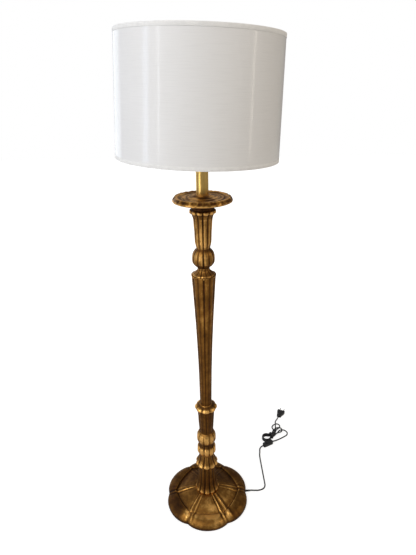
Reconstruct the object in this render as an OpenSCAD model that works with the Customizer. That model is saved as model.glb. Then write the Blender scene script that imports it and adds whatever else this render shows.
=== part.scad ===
// Candlestick floor lamp: a carved and gilded wooden column on a lobed base, a brass candle tube,
// and a white drum shade carried by a harp. Millimetres, +Z up, the front faces -Y, and the
// origin is on the floor under the middle of the column.

/* [Base] */
// Radius of the base at the crest of a lobe
base_r = 161; // [150:1:175]
// Height of the carved base above its felt
base_h = 50; // [46:1:60]
// Depth of the notch between two lobes of the rim
rim_notch = 10; // [4:0.5:13]
// Distance from the middle to the groove inside the rim's roll
groove_r = 110; // [108:1:116]
// Thickness of the felt under the base
felt_t = 2; // [1:0.5:4]
// Radius of the cast iron weight
weight_r = 102; // [90:1:103]
// Thickness of the cast iron weight
weight_t = 14; // [8:1:15]
// Height of the cord channel under the weight
channel_h = 10; // [9:0.5:12]

/* [Column] */
// Height of the petalled foot
foot_h = 123; // [100:1:150]
// Height of the flared skirt
skirt_h = 51; // [42:1:62]
// Height of the petal bead
bead_h = 50; // [42:1:60]
// Height of the lower ball
ball_h = 56; // [46:1:68]
// Height of the lower vase
lower_vase_h = 93; // [74:1:112]
// Height of the leaf collar
leaf_h = 24; // [20:1:30]
// Length of the main shaft
shaft_h = 519; // [400:1:620]
// Height of the neck flower
neck_h = 24; // [18:1:32]
// Height of the melon ball
melon_h = 64; // [52:1:76]
// Height of the upper vase
upper_vase_h = 95; // [75:1:115]
// Height of the collar under the dish
collar_h = 39; // [30:1:48]
// Radius of the foot where it stands on the base
foot_r = 39; // [34:0.5:40]
// How far the foot's petal tips stand out
foot_flare = 6.7; // [3:0.1:9]
// Radius where the skirt stands on the foot
skirt_seat_r = 31.5; // [28:0.5:34]
// How far the skirt's lip stands out
skirt_flare = 11.5; // [6:0.5:15]
// Radius of the waist between skirt and bead
skirt_top_r = 27; // [24:0.5:30]
// How far the bead's petals stand out
bead_flare = 8.2; // [4:0.2:11]
// Radius of the waist between bead and lower ball
bead_top_r = 27; // [24:0.5:30]
// How far the lower ball stands out
ball_swell = 9.2; // [5:0.2:12]
// Radius of the lower vase's foot
vase_foot_r = 25.2; // [22:0.2:28]
// Radius of the lower vase's top
vase_top_r = 30; // [27:0.5:33]
// Radius of the curled leaves
leaf_r = 40; // [36:0.5:46]
// Radius of the shaft's lower end
shaft_foot_r = 20.4; // [17:0.2:24]
// Radius of the shaft's top
shaft_top_r = 39; // [34:0.5:44]
// Radius where the neck flower meets the melon
neck_top_r = 19.6; // [17:0.2:22]
// How far the neck flower is hollowed below a straight cone
neck_hollow = 4.6; // [2:0.2:6]
// How far the melon stands out
melon_swell = 15.6; // [10:0.2:18]
// Radius of the upper vase's foot
upper_foot_r = 21.4; // [18:0.2:24]
// Radius of the upper vase's top
upper_top_r = 30.4; // [27:0.2:34]
// How far the collar's leaf tips stand out
collar_flare = 7; // [4:0.2:10]
// Depth of the carving between reeds and petals
carving = 3.6; // [1.5:0.1:4.5]
// Diameter of the pipe that runs up the middle
pipe_d = 10; // [9.6:0.1:11]

/* [Drip dish] */
// Radius of the dish's rim
dish_r = 89.6; // [75:0.2:110]
// Height of the rim's lower edge above the collar
dish_under = 12; // [8:0.5:14]
// Height of the rim band
dish_rim = 14; // [9:0.5:16]
// Depth of the well inside the rim
dish_well = 3.5; // [2:0.5:6]
// Height of the boss that the candle tube stands on, above the collar
dish_boss = 31; // [29:0.5:37]

/* [Candle tube] */
// Outer diameter of the brass tube
tube_d = 36.6; // [30:0.2:42]
// Wall of the brass tube
tube_wall = 1.2; // [0.8:0.1:2]
// Length of the brass tube
tube_len = 120; // [90:1:140]

/* [Lamp holder and bulb] */
// Outer radius of the holder's brass shell
holder_r = 18.5; // [17.8:0.1:21]
// Height of the holder's brass shell
holder_h = 42; // [38:0.5:50]
// Radius of the bulb's screw cap
bulb_cap_r = 13.2; // [12.8:0.1:13.4]
// Radius of the bulb's globe
bulb_r = 30; // [24:0.5:34]
// Length of the bulb
bulb_len = 105; // [95:1:120]

/* [Harp] */
// Height of the harp loop above its two posts
harp_h = 240; // [200:1:280]
// Half of the harp's widest span
harp_half = 57; // [50:0.5:66]
// Half of the distance between the harp's legs
leg_half = 26; // [23:0.5:30]
// Radius of the harp's wire
wire_r = 1.9; // [1.6:0.1:2.2]
// Height of the saddle's two arms
saddle_h = 23.5; // [16:0.5:28]
// Length of the ferrule that locks a leg
ferrule_h = 14; // [10:0.5:16]
// How far a ferrule lifts to free its leg
ferrule_lift = 10; // [6:0.5:12]

/* [Shade] */
// Diameter of the shade at its lower rim
shade_low_d = 457; // [400:1:500]
// How much narrower the shade is at its upper rim
shade_taper = 17; // [0:1:60]
// Height of the shade
shade_h = 311; // [260:1:340]
// How far the spider's washer is set below the upper rim
spider_drop = 13; // [10:0.5:20]
// Lean of the shade on its stud, in degrees
shade_lean = 2.3; // [0:0.1:3]
// Thickness of the shade's wall
shade_t = 1.5; // [1:0.1:2.5]
// Height of the folded trim on each rim
trim_h = 9; // [6:0.5:14]
// Height of the finial
finial_h = 26; // [22:0.5:40]

/* [Cord, switch and plug] */
// Diameter of the cord
cord_d = 5.5; // [5.2:0.1:5.6]
// Length of the switch on the cord
switch_l = 50; // [46:0.5:56]
// Width of the switch
switch_w = 18; // [17:0.5:20]
// Height of the switch
switch_h = 14; // [13:0.5:16]
// Travel of the switch's rocker, in degrees
rocker_travel = 14; // [8:1:16]
// Length of the plug's body
plug_l = 42; // [36:0.5:46]
// Width of the plug's face
plug_w = 35.3; // [32:0.1:38]
// Thickness of the plug
plug_t = 13.7; // [12:0.1:16]

/* [Hidden] */
$fn = 48;
sides = 72;
fit = 0.05;
lap = 0.3;
front = -90;
lobes = 6;
petals = 12;
gadroons = 10;
leaves = 8;

gilt = "#9a7234";
gilt_dark = "#7d5826";
brass = "#c9a54e";
steel = "#8d9096";
black = "#1b1b1d";
ivory = "#e8e6e1";

// Heights of the seats, from the floor up
base_top = felt_t + base_h;
skirt_z = base_top + foot_h;
bead_z = skirt_z + skirt_h;
ball_z = bead_z + bead_h;
lower_vase_z = ball_z + ball_h;
leaf_z = lower_vase_z + lower_vase_h;
leaf_seat = leaf_h * 2 / 3;
shaft_z = leaf_z + leaf_seat;
neck_z = shaft_z + shaft_h;
melon_z = neck_z + neck_h;
upper_vase_z = melon_z + melon_h;
collar_z = upper_vase_z + upper_vase_h;
dish_z = collar_z + collar_h;
tube_z = dish_z + dish_boss;
tube_r = tube_d / 2;
tube_top = tube_z + tube_len;
cap_t = 2.5;
locknut_h = 3;
saddle_z = tube_top + cap_t + locknut_h;
saddle_t = 1.5;
holder_z = saddle_z + saddle_t;
peg_h = 8;
leg_z = saddle_z + saddle_h + peg_h;
harp_top = leg_z + harp_h;
hub_r = 6;
hub_half = 5;
flange_t = 2;
seat_z = harp_top + hub_half + flange_t;

// The pipe, its bore and what clamps it
pipe_r = pipe_d / 2;
pipe_bore = pipe_r - 1.4;
pipe_hole = pipe_r + 0.3;
weight_z = felt_t + channel_h;
recess_z = weight_z + weight_t;
hub_recess_z = recess_z + 10;
hub_recess_r = 36;
washer_t = 1.5;
washer_r = 15;
nut_h = 5;
nut_r = 11;
pipe_z = hub_recess_z - washer_t - nut_h - 1.5;
pipe_top = holder_z + 8;

// The shade, measured from the washer's seat
shade_rim = spider_drop;
shade_foot = spider_drop - shade_h;
shade_low_r = shade_low_d / 2;
shade_top_r = shade_low_r - shade_taper / 2;
function shade_r(z) = shade_low_r + (shade_top_r - shade_low_r) * (z - shade_foot) / shade_h;
ring_wire = 1.5;
stud_r = 3.2;
flange_r = 7;
spider_t = 1.5;
stud_len = 18;

// The cord's way out of the base
cord_r = cord_d / 2;
cord_az = 4;
exit_z = felt_t + channel_h / 2 + 1;
wall_out = base_r - rim_notch;
relief_len = 21;
exit_at = wall_out + relief_len;
relief_r = 4.2;
hole_r = 4.6;

// --- Helpers ------------------------------------------------------------------------------

function mix(a, b, t) = a + (b - a) * t;
function smooth(x) = let (c = min(max(x, 0), 1)) c * c * (3 - 2 * c);
function unit(v) = v / norm(v);
function last(v) = v[len(v) - 1];
// Share of the way from one groove (0) to the next (1) at an azimuth
function phase(a, repeats) = let (x = (a - front) * repeats / 360) x - floor(x);

// Relief across one repeat, from 0 on a crest to 1 in the groove: the reeds part at the front,
// and a petal faces it
reed_relief = [[0, 1], [6, 0.2], [11, 0], [16, 0.25], [19.5, 0.6], [23, 0.2], [30, 0]];
function reeds(a) = let (x = phase(a, lobes)) lookup(min(x, 1 - x) * 60, reed_relief);
function lobed(a, repeats) = pow(1 - abs(2 * phase(a, repeats) - 1), 2.6);
function relief(a, repeats) = repeats == lobes ? reeds(a) : lobed(a, repeats);

// A closed skin over rings of points, each ring running round the axis
module skin(rings) {
    n = len(rings[0]);
    m = len(rings);
    points = [for (ring = rings) each ring];
    walls = [for (j = [0 : m - 2], i = [0 : n - 1])
        let (a = j * n + i, b = j * n + (i + 1) % n, c = b + n, d = a + n)
        each [[a, d, c], [a, c, b]]];
    foot = [for (i = [0 : n - 1]) i];
    head = [for (i = [0 : n - 1]) m * n - 1 - i];
    polyhedron(points, concat(walls, [foot, head]), convexity = 8);
}

// A carved turning: each row is [height, radius, depth of carving, drop of the grooves]
function carved_rings(rows, repeats) = [for (row = rows)
    [for (i = [0 : sides - 1])
        let (a = 360 * i / sides + front, cut = relief(a, repeats), r = row[1] - row[2] * cut)
        [r * cos(a), r * sin(a), row[0] - row[3] * cut]]];

module bored(z, h, r = pipe_hole) {
    difference() {
        children();
        translate([0, 0, z - 1]) cylinder(r = r, h = h + 2);
    }
}

// A turning between two radii: each row of its shape is [share of the height, share of the
// swell beyond a straight taper, share of the carving, share of the groove's drop]
module turning(h, low_r, high_r, swell, shape, repeats, drop = 0) {
    rows = [for (p = shape) [h * p[0], mix(low_r, high_r, p[0]) + swell * p[1],
        carving * p[2], drop * p[3]]];
    bored(0, h) skin(carved_rings(rows, repeats));
}

// --- Base ---------------------------------------------------------------------------------

// The base's ribs lie between its lobes, half a lobe away from the column's grooves
base_sides = 84;
rib_az = front + 30;
function from_rib(a) = let (x = (a - rib_az) * lobes / 360, f = x - floor(x)) min(f, 1 - f) * 60;
rib_relief = [[0, -1.6], [4.5, -0.6], [7.5, 2.4], [10, 1.2], [12.5, -2], [16, 0], [17, 0]];
function rib(r, a) = lookup(r * sin(from_rib(a)), rib_relief);
function rim_r(a) = base_r - rim_notch * pow(1 - from_rib(a) / 30, 2.5);
function groove_at(a) = groove_r / cos(30 - from_rib(a));

roll_z = 30.5;
// Rows of the rim: [distance inside the outline, height, share of the rib's relief]
roll_rows = [[4, 0, 0], [0.8, 2.5, 0], [0, 9, 0], [3, 19, 0], [10, 27, 0.2], [20, roll_z + 1, 0.7]];
function base_ring(row) = [for (i = [0 : base_sides - 1])
    let (a = 360 * i / base_sides + rib_az, r = rim_r(a) - row[0])
    [r * cos(a), r * sin(a), row[1] + row[2] * rib(r, a)]];
// Rows of the panels: [share of the way in from the groove to the foot, height, rib's share]
panel_rows = [[-0.09, roll_z, 1], [0, roll_z - 4.5, 1], [0.07, roll_z, 1], [0.35, mix(roll_z, base_h, 0.42), 1],
    [0.65, mix(roll_z, base_h, 0.78), 1], [0.9, base_h - 0.5, 0.6], [1, base_h, 0]];
seat_r = foot_r + 2;
function panel_ring(row) = [for (i = [0 : base_sides - 1])
    let (a = 360 * i / base_sides + rib_az, r = mix(groove_at(a), seat_r, row[0]))
    [r * cos(a), r * sin(a), row[1] + row[2] * rib(r, a)]];

module felt_pad() {
    color("#3d3a33") cylinder(r = base_r - rim_notch - 5, h = felt_t);
}

module base_shell() {
    rings = concat([for (row = roll_rows) base_ring(row)], [for (row = panel_rows) panel_ring(row)]);
    color(gilt) difference() {
        translate([0, 0, felt_t]) skin(rings);
        translate([0, 0, -1]) cylinder(r = weight_r + 2, h = recess_z + 1);
        cylinder(r = hub_recess_r, h = hub_recess_z);
        cylinder(r = pipe_hole, h = base_top + 5);
        rotate([0, 0, cord_az]) translate([weight_r, 0, exit_z]) rotate([0, 90, 0])
            cylinder(r = hole_r, h = base_r);
        screw_places() cylinder(r = screw_r + fit, h = recess_z + screw_bite + 0.5);
    }
}

screw_r = 2.2;
screw_bite = 7;
screw_circle = 70;
module screw_places() {
    for (a = [60, 180, 300]) rotate([0, 0, a]) translate([screw_circle, 0, 0]) children();
}

module base_weight() {
    color("#2f3033") difference() {
        translate([0, 0, weight_z]) cylinder(r = weight_r, h = weight_t);
        cylinder(r = hub_recess_r - 2, h = recess_z + 1);
        screw_places() cylinder(r = screw_r + fit, h = recess_z + 1);
    }
}

module weight_screws() {
    head_h = 2.2;
    color(steel) screw_places() translate([0, 0, weight_z - head_h]) {
        cylinder(r = 4, h = head_h);
        cylinder(r = screw_r, h = head_h + weight_t + screw_bite);
    }
}

module pipe_washer() {
    color(steel) translate([0, 0, hub_recess_z - washer_t]) difference() {
        cylinder(r = washer_r, h = washer_t);
        translate([0, 0, -1]) cylinder(r = pipe_r + fit, h = washer_t + 2);
    }
}

module pipe_nut() {
    color(brass) translate([0, 0, hub_recess_z - washer_t - nut_h]) difference() {
        cylinder(r = nut_r, h = nut_h, $fn = 6);
        translate([0, 0, -1]) cylinder(r = pipe_r + fit, h = nut_h + 2);
    }
}

module pipe() {
    color(steel) difference() {
        translate([0, 0, pipe_z]) cylinder(r = pipe_r, h = pipe_top - pipe_z);
        translate([0, 0, pipe_z - 1]) cylinder(r = pipe_bore, h = pipe_top - pipe_z + 2);
    }
}

// --- Column -------------------------------------------------------------------------------

foot_shape = [[0, 0, 0, 0], [0.01, 0.6, 0.7, 0], [0.04, 1, 1.2, 0], [0.1, 0.7, 1.2, 0], [0.2, 0.1, 1, 0],
    [0.37, -0.3, 0.8, 0], [0.65, -0.25, 0.7, 0], [1, 0, 0.6, 0]];
module column_foot() {
    color(gilt) translate([0, 0, base_top])
        turning(foot_h, foot_r, skirt_seat_r, foot_flare, foot_shape, petals);
}

skirt_shape = [[0, 0, 0, 0], [0.03, 0.66, 0.7, -0.6], [0.09, 1, 1.2, -1], [0.21, 0.76, 1.2, -0.4], [0.43, 0.4, 1, 0],
    [0.68, 0.12, 0.8, 0], [0.88, 0, 0.7, 0], [1, 0, 0.5, 0]];
module skirt_collar() {
    color(gilt) translate([0, 0, skirt_z])
        turning(skirt_h, skirt_seat_r, skirt_top_r, skirt_flare, skirt_shape, petals, 3);
}

bead_shape = [[0, 0, 0, 0], [0.1, 0.1, 0.3, 0], [0.18, 0.5, 0.9, -1], [0.28, 0.88, 1.2, -1], [0.45, 1, 1.2, -0.4],
    [0.68, 0.94, 1, 0], [0.86, 0.5, 0.8, 0], [1, 0, 0.4, 0]];
module petal_bead() {
    color(gilt) translate([0, 0, bead_z])
        turning(bead_h, skirt_top_r, bead_top_r, bead_flare, bead_shape, gadroons, 3);
}

ball_shape = [[0, 0, 0.2, 0], [0.08, 0.45, 0.6, 0], [0.2, 0.84, 0.9, 0], [0.36, 1, 1.1, 0], [0.52, 1, 1.1, 0],
    [0.68, 0.88, 1, 0], [0.83, 0.56, 0.8, 0], [0.94, 0.2, 0.5, 0], [1, 0, 0.2, 0]];
module lower_ball() {
    color(gilt) translate([0, 0, ball_z])
        turning(ball_h, bead_top_r, vase_foot_r, ball_swell, ball_shape, gadroons);
}

reed_shape = [[0, 0, 0.3, 0], [0.08, 0, 0.7, 0], [0.3, 0.15, 0.8, 0], [0.62, 0.2, 0.8, 0], [0.9, 0.1, 0.8, 0], [1, 0, 0.5, 0]];
module lower_vase() {
    color(gilt) translate([0, 0, lower_vase_z])
        turning(lower_vase_h, vase_foot_r, vase_top_r, 1, reed_shape, lobes);
}

// The leaves rise round the vase's top, curl over, and leave a well that the shaft stands in
leaf_rows = [for (p = [[0, 0, 0.2, 0], [0.17, 0.32, 0.6, 0], [0.37, 0.8, 1.2, 0], [0.58, 1, 1.4, 1],
    [0.75, 0.96, 1.3, 1], [0.92, 0.62, 0.9, 0.6], [1, 0.1, 0.4, 0]])
    [leaf_h * p[0], mix(vase_top_r, leaf_r, p[1]), carving * p[2], 3 * p[3]]];
well_r = shaft_foot_r + 2;
leaf_well = [[mix(leaf_seat, leaf_h, 0.7), well_r + 3, 0, 0], [leaf_seat, well_r, 0, 0]];
module leaf_collar() {
    color(gilt) translate([0, 0, leaf_z])
        bored(0, leaf_h) skin(carved_rings(concat(leaf_rows, leaf_well), leaves));
}

// The shaft's taper: [share of the height, share of the way from its foot to its top radius]
shaft_taper = [[0, 0], [0.145, 0.054], [0.337, 0.145], [0.453, 0.247], [0.628, 0.435], [0.869, 0.785],
    [0.977, 0.968], [1, 1]];
module main_shaft() {
    rows = [for (p = shaft_taper) [shaft_h * p[0], mix(shaft_foot_r, shaft_top_r, p[1]),
        carving * mix(0.7, 1, p[0]), 0]];
    color(gilt_dark) translate([0, 0, shaft_z]) bored(0, shaft_h) skin(carved_rings(rows, lobes));
}

neck_shape = [[0, 0, 0.6, 0], [0.08, -0.3, 0.6, 0], [0.2, 0.2, 0.6, 0], [0.36, 0.66, 0.6, 0], [0.58, 0.8, 0.6, 0],
    [0.8, 0.5, 0.5, 0], [1, 0, 0.3, 0]];
neck_inset = 1.6;
module neck_flower() {
    color(gilt) translate([0, 0, neck_z])
        turning(neck_h, shaft_top_r - neck_inset, neck_top_r, -neck_hollow, neck_shape, petals);
}

melon_shape = [[0, 0, 0.2, 0], [0.08, 0.34, 0.7, 0], [0.19, 0.72, 1, 0], [0.31, 0.96, 1.2, 0], [0.45, 1, 1.2, 0],
    [0.61, 0.94, 1.2, 0], [0.75, 0.76, 1, 0], [0.88, 0.42, 0.7, 0], [1, 0, 0.3, 0]];
module melon_ball() {
    color(gilt) translate([0, 0, melon_z])
        turning(melon_h, neck_top_r, upper_foot_r, melon_swell, melon_shape, lobes);
}

upper_shape = [[0, 0, 0.3, 0], [0.07, 0.4, 0.8, 0], [0.21, 1, 1, 0], [0.34, 0.8, 1, 0], [0.55, 0.28, 1, 0],
    [0.74, 0.12, 1, 0], [0.94, -0.24, 1, 0], [1, 0, 0.8, 0]];
module upper_vase() {
    color(gilt) translate([0, 0, upper_vase_z])
        turning(upper_vase_h, upper_foot_r, upper_top_r, 2.5, upper_shape, lobes);
}

dish_seat_r = upper_top_r + 7.6;
collar_shape = [[0, 0, 0.8, 0], [0.15, 0.3, 0.9, 0], [0.29, 0.66, 0.9, 0], [0.37, 0.94, 0.8, -1], [0.46, 1, 0.8, -0.4],
    [0.55, 0.78, 0.7, 0], [0.66, 0.02, 0.4, 0], [0.84, -0.28, 0.2, 0], [1, 0, 0.2, 0]];
module upper_collar() {
    color(gilt) translate([0, 0, collar_z])
        turning(collar_h, upper_top_r, dish_seat_r, collar_flare, collar_shape, lobes, 2);
}

crest_z = dish_under + dish_rim;
boss_r = tube_r + 5.5;
dish_rows = [[0, dish_seat_r, 0, 0], [0.1 * dish_under, mix(dish_seat_r, dish_r, 0.12), 0.2, 0],
    [0.35 * dish_under, mix(dish_seat_r, dish_r, 0.46), 0.4, 0], [0.75 * dish_under, mix(dish_seat_r, dish_r, 0.8), 0.7, 0],
    [dish_under, dish_r - 2, 1, 0], [dish_under + 0.18 * dish_rim, dish_r, 1.1, 0],
    [dish_under + 0.6 * dish_rim, dish_r - 2.6, 1, 0], [crest_z, dish_r - 8.6, 0.8, 0],
    [crest_z - 0.7 * dish_well, dish_r - 14, 0.4, 0], [crest_z - dish_well, 0.7 * dish_r, 0.3, 0],
    [crest_z - 0.4 * dish_well, 0.5 * dish_r, 0.2, 0], [mix(crest_z, dish_boss, 0.6), boss_r + 5, 0.1, 0],
    [dish_boss, boss_r, 0, 0]];
module drip_dish() {
    rows = [for (p = dish_rows) [p[0], p[1], carving * p[2], 0]];
    color(gilt) translate([0, 0, dish_z]) bored(0, dish_boss) skin(carved_rings(rows, lobes));
}

// --- Candle tube --------------------------------------------------------------------------

module candle_tube() {
    color(brass) translate([0, 0, tube_z]) difference() {
        cylinder(r = tube_r, h = tube_len);
        translate([0, 0, -1]) cylinder(r = tube_r - tube_wall, h = tube_len + 2);
    }
}

check_h = 4;
module check_ring() {
    color(brass) translate([0, 0, tube_z]) difference() {
        cylinder(r = tube_r - tube_wall - fit, h = check_h);
        translate([0, 0, -1]) cylinder(r = pipe_r + fit, h = check_h + 2);
    }
}

spigot_h = 5;
module tube_cap() {
    color(brass) difference() {
        union() {
            translate([0, 0, tube_top]) cylinder(r = tube_r + 1.2, h = cap_t);
            translate([0, 0, tube_top - spigot_h]) cylinder(r = tube_r - tube_wall - fit, h = spigot_h + 0.5);
        }
        translate([0, 0, tube_top - spigot_h - 1]) cylinder(r = pipe_r + fit, h = spigot_h + cap_t + 2);
    }
}

module tube_locknut() {
    color(brass) translate([0, 0, tube_top + cap_t]) difference() {
        cylinder(r = 8.4, h = locknut_h, $fn = 6);
        translate([0, 0, -1]) cylinder(r = pipe_r + fit, h = locknut_h + 2);
    }
}

// --- Harp ---------------------------------------------------------------------------------

saddle_w = 14;
module harp_saddle() {
    arm_out = leg_half + 2.4;
    color(steel) translate([0, 0, saddle_z]) difference() {
        union() {
            translate([-arm_out, -saddle_w / 2, 0]) cube([2 * arm_out, saddle_w, saddle_t]);
            for (side = [-1, 1]) {
                translate([side * leg_half - 2.4, -saddle_w / 4, 0]) cube([4.8, saddle_w / 2, saddle_h]);
                translate([side * leg_half, 0, saddle_h - 1]) cylinder(r = wire_r, h = peg_h + 1);
            }
        }
        translate([0, 0, -1]) cylinder(r = pipe_r + fit, h = saddle_t + 2);
    }
}

bend_r = 30;
bend_a = acos(1 - (harp_half - leg_half) / (2 * bend_r));
leg_straight = ferrule_h - peg_h / 2 + ferrule_lift + 1.5;
bend_rise = 2 * bend_r * sin(bend_a);
arch_z = harp_h - harp_half;
// Every second stretch of the loop is a hair thinner and runs on into its neighbours
bury = 0.5;
hair = 0.05;
module arc_wire(r, a, w, more = 0) {
    extra = more / r * 180 / PI;
    rotate([0, 0, -extra]) rotate_extrude(angle = a + 2 * extra) translate([r, 0]) circle(r = w);
}
module harp_side() {
    translate([leg_half, 0, 0]) cylinder(r = wire_r, h = leg_straight);
    translate([leg_half + bend_r, 0, leg_straight]) rotate([90, 0, 0]) rotate([0, 0, 180 - bend_a])
        arc_wire(bend_r, bend_a, wire_r - hair, bury);
    translate([harp_half - bend_r, 0, leg_straight + bend_rise]) rotate([90, 0, 0]) rotate([0, 0, -bend_a])
        arc_wire(bend_r, bend_a, wire_r);
    translate([harp_half, 0, leg_straight + bend_rise - bury])
        cylinder(r = wire_r - hair, h = arch_z - leg_straight - bend_rise + 2 * bury);
}
module harp() {
    color(brass) translate([0, 0, leg_z]) difference() {
        union() {
            harp_side();
            mirror([1, 0, 0]) harp_side();
            translate([0, 0, arch_z]) rotate([90, 0, 0]) arc_wire(harp_half, 180, wire_r);
            hub_barrel(hub_r, 0);
        }
        hub_barrel(stud_r + fit, 2);
    }
}

// The barrel at the top of the loop stands square to the leaning stud
module hub_barrel(r, beyond) {
    translate([0, 0, -leg_z]) on_stud() translate([0, 0, -flange_t - 2 * hub_half - beyond])
        cylinder(r = r, h = 2 * (hub_half + beyond));
}

ferrule_wall = 1.3;
module ferrule(side) {
    color(brass) translate([side * leg_half, 0, leg_z - peg_h / 2]) difference() {
        cylinder(r = wire_r + ferrule_wall, h = ferrule_h);
        translate([0, 0, -1]) cylinder(r = wire_r + fit, h = ferrule_h + 2);
    }
}
module ferrule_left() { ferrule(-1); }
module ferrule_right() { ferrule(1); }

// --- Lamp holder and bulb -----------------------------------------------------------------

shell_wall = 0.8;
liner_r = holder_r - shell_wall - fit;
cap_r = holder_r - shell_wall - fit;
cap_h = 15;
cap_wall = 1.2;
module holder_cap() {
    color(brass) translate([0, 0, holder_z]) rotate_extrude()
        polygon([[pipe_r + fit, 0], [8, 0], [14, 3], [cap_r, 8], [cap_r, cap_h], [cap_r - cap_wall, cap_h],
            [cap_r - cap_wall, 8.6], [13.4, 4.4], [8, cap_wall + 0.4], [pipe_r + fit, cap_wall + 0.4]]);
}

shell_z = holder_z + cap_h - 4;
module holder_shell() {
    color(brass) translate([0, 0, shell_z]) difference() {
        cylinder(r = holder_r, h = holder_h);
        translate([0, 0, -1]) cylinder(r = holder_r - shell_wall, h = holder_h + 2);
    }
}

liner_z = holder_z + cap_h;
liner_h = shell_z + holder_h - liner_z - 1;
liner_t = 0.8;
module holder_liner() {
    color("#b9b2a0") translate([0, 0, liner_z]) difference() {
        cylinder(r = liner_r, h = liner_h);
        translate([0, 0, -1]) cylinder(r = liner_r - liner_t, h = liner_h + 2);
    }
}

block_z = pipe_top + 1;
block_h = 12;
block_r = bulb_cap_r + 2;
module holder_block() {
    color("#2b2522") translate([0, 0, block_z]) difference() {
        union() {
            cylinder(r = block_r, h = block_h);
            translate([0, 0, cap_h + holder_z - block_z]) cylinder(r = liner_r - liner_t - fit, h = 3);
        }
        for (side = [-1, 1]) translate([0, side * (block_r - 4), -1]) cylinder(r = 1.5 + fit, h = 7);
    }
}

module terminal_screws() {
    color(brass) for (side = [-1, 1]) translate([0, side * (block_r - 4), block_z - 1.6]) {
        cylinder(r = 2.7, h = 1.6);
        cylinder(r = 1.5, h = 6);
    }
}

screw_shell_z = block_z + block_h;
screw_shell_h = 24;
module screw_shell() {
    color(brass) translate([0, 0, screw_shell_z]) difference() {
        cylinder(r = bulb_cap_r + 0.9, h = screw_shell_h);
        translate([0, 0, -1]) cylinder(r = bulb_cap_r + 0.08, h = screw_shell_h + 2);
    }
}

contact_h = 1.2;
module center_contact() {
    color(brass) translate([0, 0, screw_shell_z]) {
        cylinder(r = 4.5, h = contact_h);
    }
}

bulb_z = screw_shell_z + contact_h + 0.3;
bulb_tip_h = 2.6;
bulb_cap_h = 25;
module bulb_tip() {
    color(steel) translate([0, 0, bulb_z]) cylinder(r1 = 3.6, r2 = 5, h = bulb_tip_h);
}
module bulb_cap() {
    color(steel) translate([0, 0, bulb_z + bulb_tip_h]) difference() {
        cylinder(r = bulb_cap_r, h = bulb_cap_h);
        translate([0, 0, 2]) cylinder(r = bulb_cap_r - 0.8, h = bulb_cap_h);
    }
}

// The globe is a sphere that a cone joins to the neck; the neck stands inside the cap
neck_r = bulb_cap_r - 0.8 - fit;
globe_z = bulb_len - bulb_r;
cone_a = 38;
glass_t = 1.1;
neck_low = bulb_tip_h + 8;
module globe_outline(r, neck) {
    rotate_extrude() intersection() {
        union() {
            translate([0, globe_z]) circle(r = r, $fn = 96);
            polygon([[0, bulb_tip_h + bulb_cap_h + 3], [neck, bulb_tip_h + bulb_cap_h + 3],
                [r * cos(cone_a), globe_z - r * sin(cone_a)], [0, globe_z]]);
            translate([0, neck_low]) square([neck, bulb_cap_h - 8 + 3]);
        }
        square([bulb_r + 1, bulb_len + 1]);
    }
}
module bulb_glass() {
    color([0.95, 0.95, 0.92, 0.7]) translate([0, 0, bulb_z]) difference() {
        globe_outline(bulb_r, neck_r);
        globe_outline(bulb_r - glass_t, neck_r - glass_t);
        translate([0, 0, neck_low - 1]) cylinder(r = neck_r - glass_t, h = 4);
    }
}

// --- Shade, spider and finial, leaning together on the stud --------------------------------

module on_stud() {
    translate([0, 0, seat_z]) rotate([0, shade_lean, 0]) children();
}

module harp_stud() {
    rivet_r = 4.8;
    reach = 2 * hub_half + flange_t;
    color(brass) on_stud() {
        translate([0, 0, -flange_t]) cylinder(r = flange_r, h = flange_t);
        translate([0, 0, -reach]) cylinder(r = stud_r, h = reach + stud_len);
        translate([0, 0, -reach - 2]) cylinder(r = rivet_r, h = 2);
    }
}

module shade_panel() {
    color(ivory) on_stud() rotate_extrude($fn = 96)
        polygon([[shade_low_r - shade_t, shade_foot], [shade_low_r, shade_foot],
            [shade_top_r, shade_rim], [shade_top_r - shade_t, shade_rim]]);
}

gap = 0.1;
top_ring_z = shade_rim - ring_wire - 0.5;
top_ring_r = shade_r(top_ring_z) - shade_t - ring_wire - 1;
low_ring_z = shade_foot + ring_wire + 0.5;
low_ring_r = shade_r(low_ring_z) - shade_t - ring_wire - 1;
arm_r = 1.6;
module spider_frame() {
    hub_out = 9;
    rise = top_ring_z - spider_t / 2;
    run = top_ring_r - hub_out;
    color(steel) on_stud() difference() {
        union() {
            cylinder(r = 12, h = spider_t);
            for (a = [90, 210, 330]) rotate([0, 0, a]) translate([hub_out, 0, spider_t / 2])
                rotate([0, atan2(run, rise), 0]) cylinder(r = arm_r, h = norm([run, rise]));
            translate([0, 0, top_ring_z]) rotate_extrude($fn = 96) translate([top_ring_r, 0]) circle(r = ring_wire);
        }
        translate([0, 0, -10]) cylinder(r = stud_r + 0.2, h = 30);
    }
}

module lower_ring() {
    color(steel) on_stud() translate([0, 0, low_ring_z])
        rotate_extrude($fn = 96) translate([low_ring_r, 0]) circle(r = ring_wire);
}

// A tape folded over a rim: the outer leaf, the fold and the inner leaf
tape_t = 0.7;
module trim_tape(z, way) {
    far = z - way * trim_h;
    edge = z + way * gap;
    crown = edge + way * tape_t;
    in_r = shade_r(z) - shade_t - gap;
    out_r = shade_r(z) + gap;
    far_in = shade_r(far) - shade_t - gap;
    far_out = shade_r(far) + gap;
    color("white") on_stud() rotate_extrude($fn = 96)
        polygon([[far_in - tape_t, far], [far_in, far], [in_r, edge], [out_r, edge], [far_out, far],
            [far_out + tape_t, far], [out_r + tape_t, crown], [in_r - tape_t, crown]]);
}
module upper_trim() { trim_tape(shade_rim, 1); }
module lower_trim() { trim_tape(shade_foot, -1); }

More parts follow.
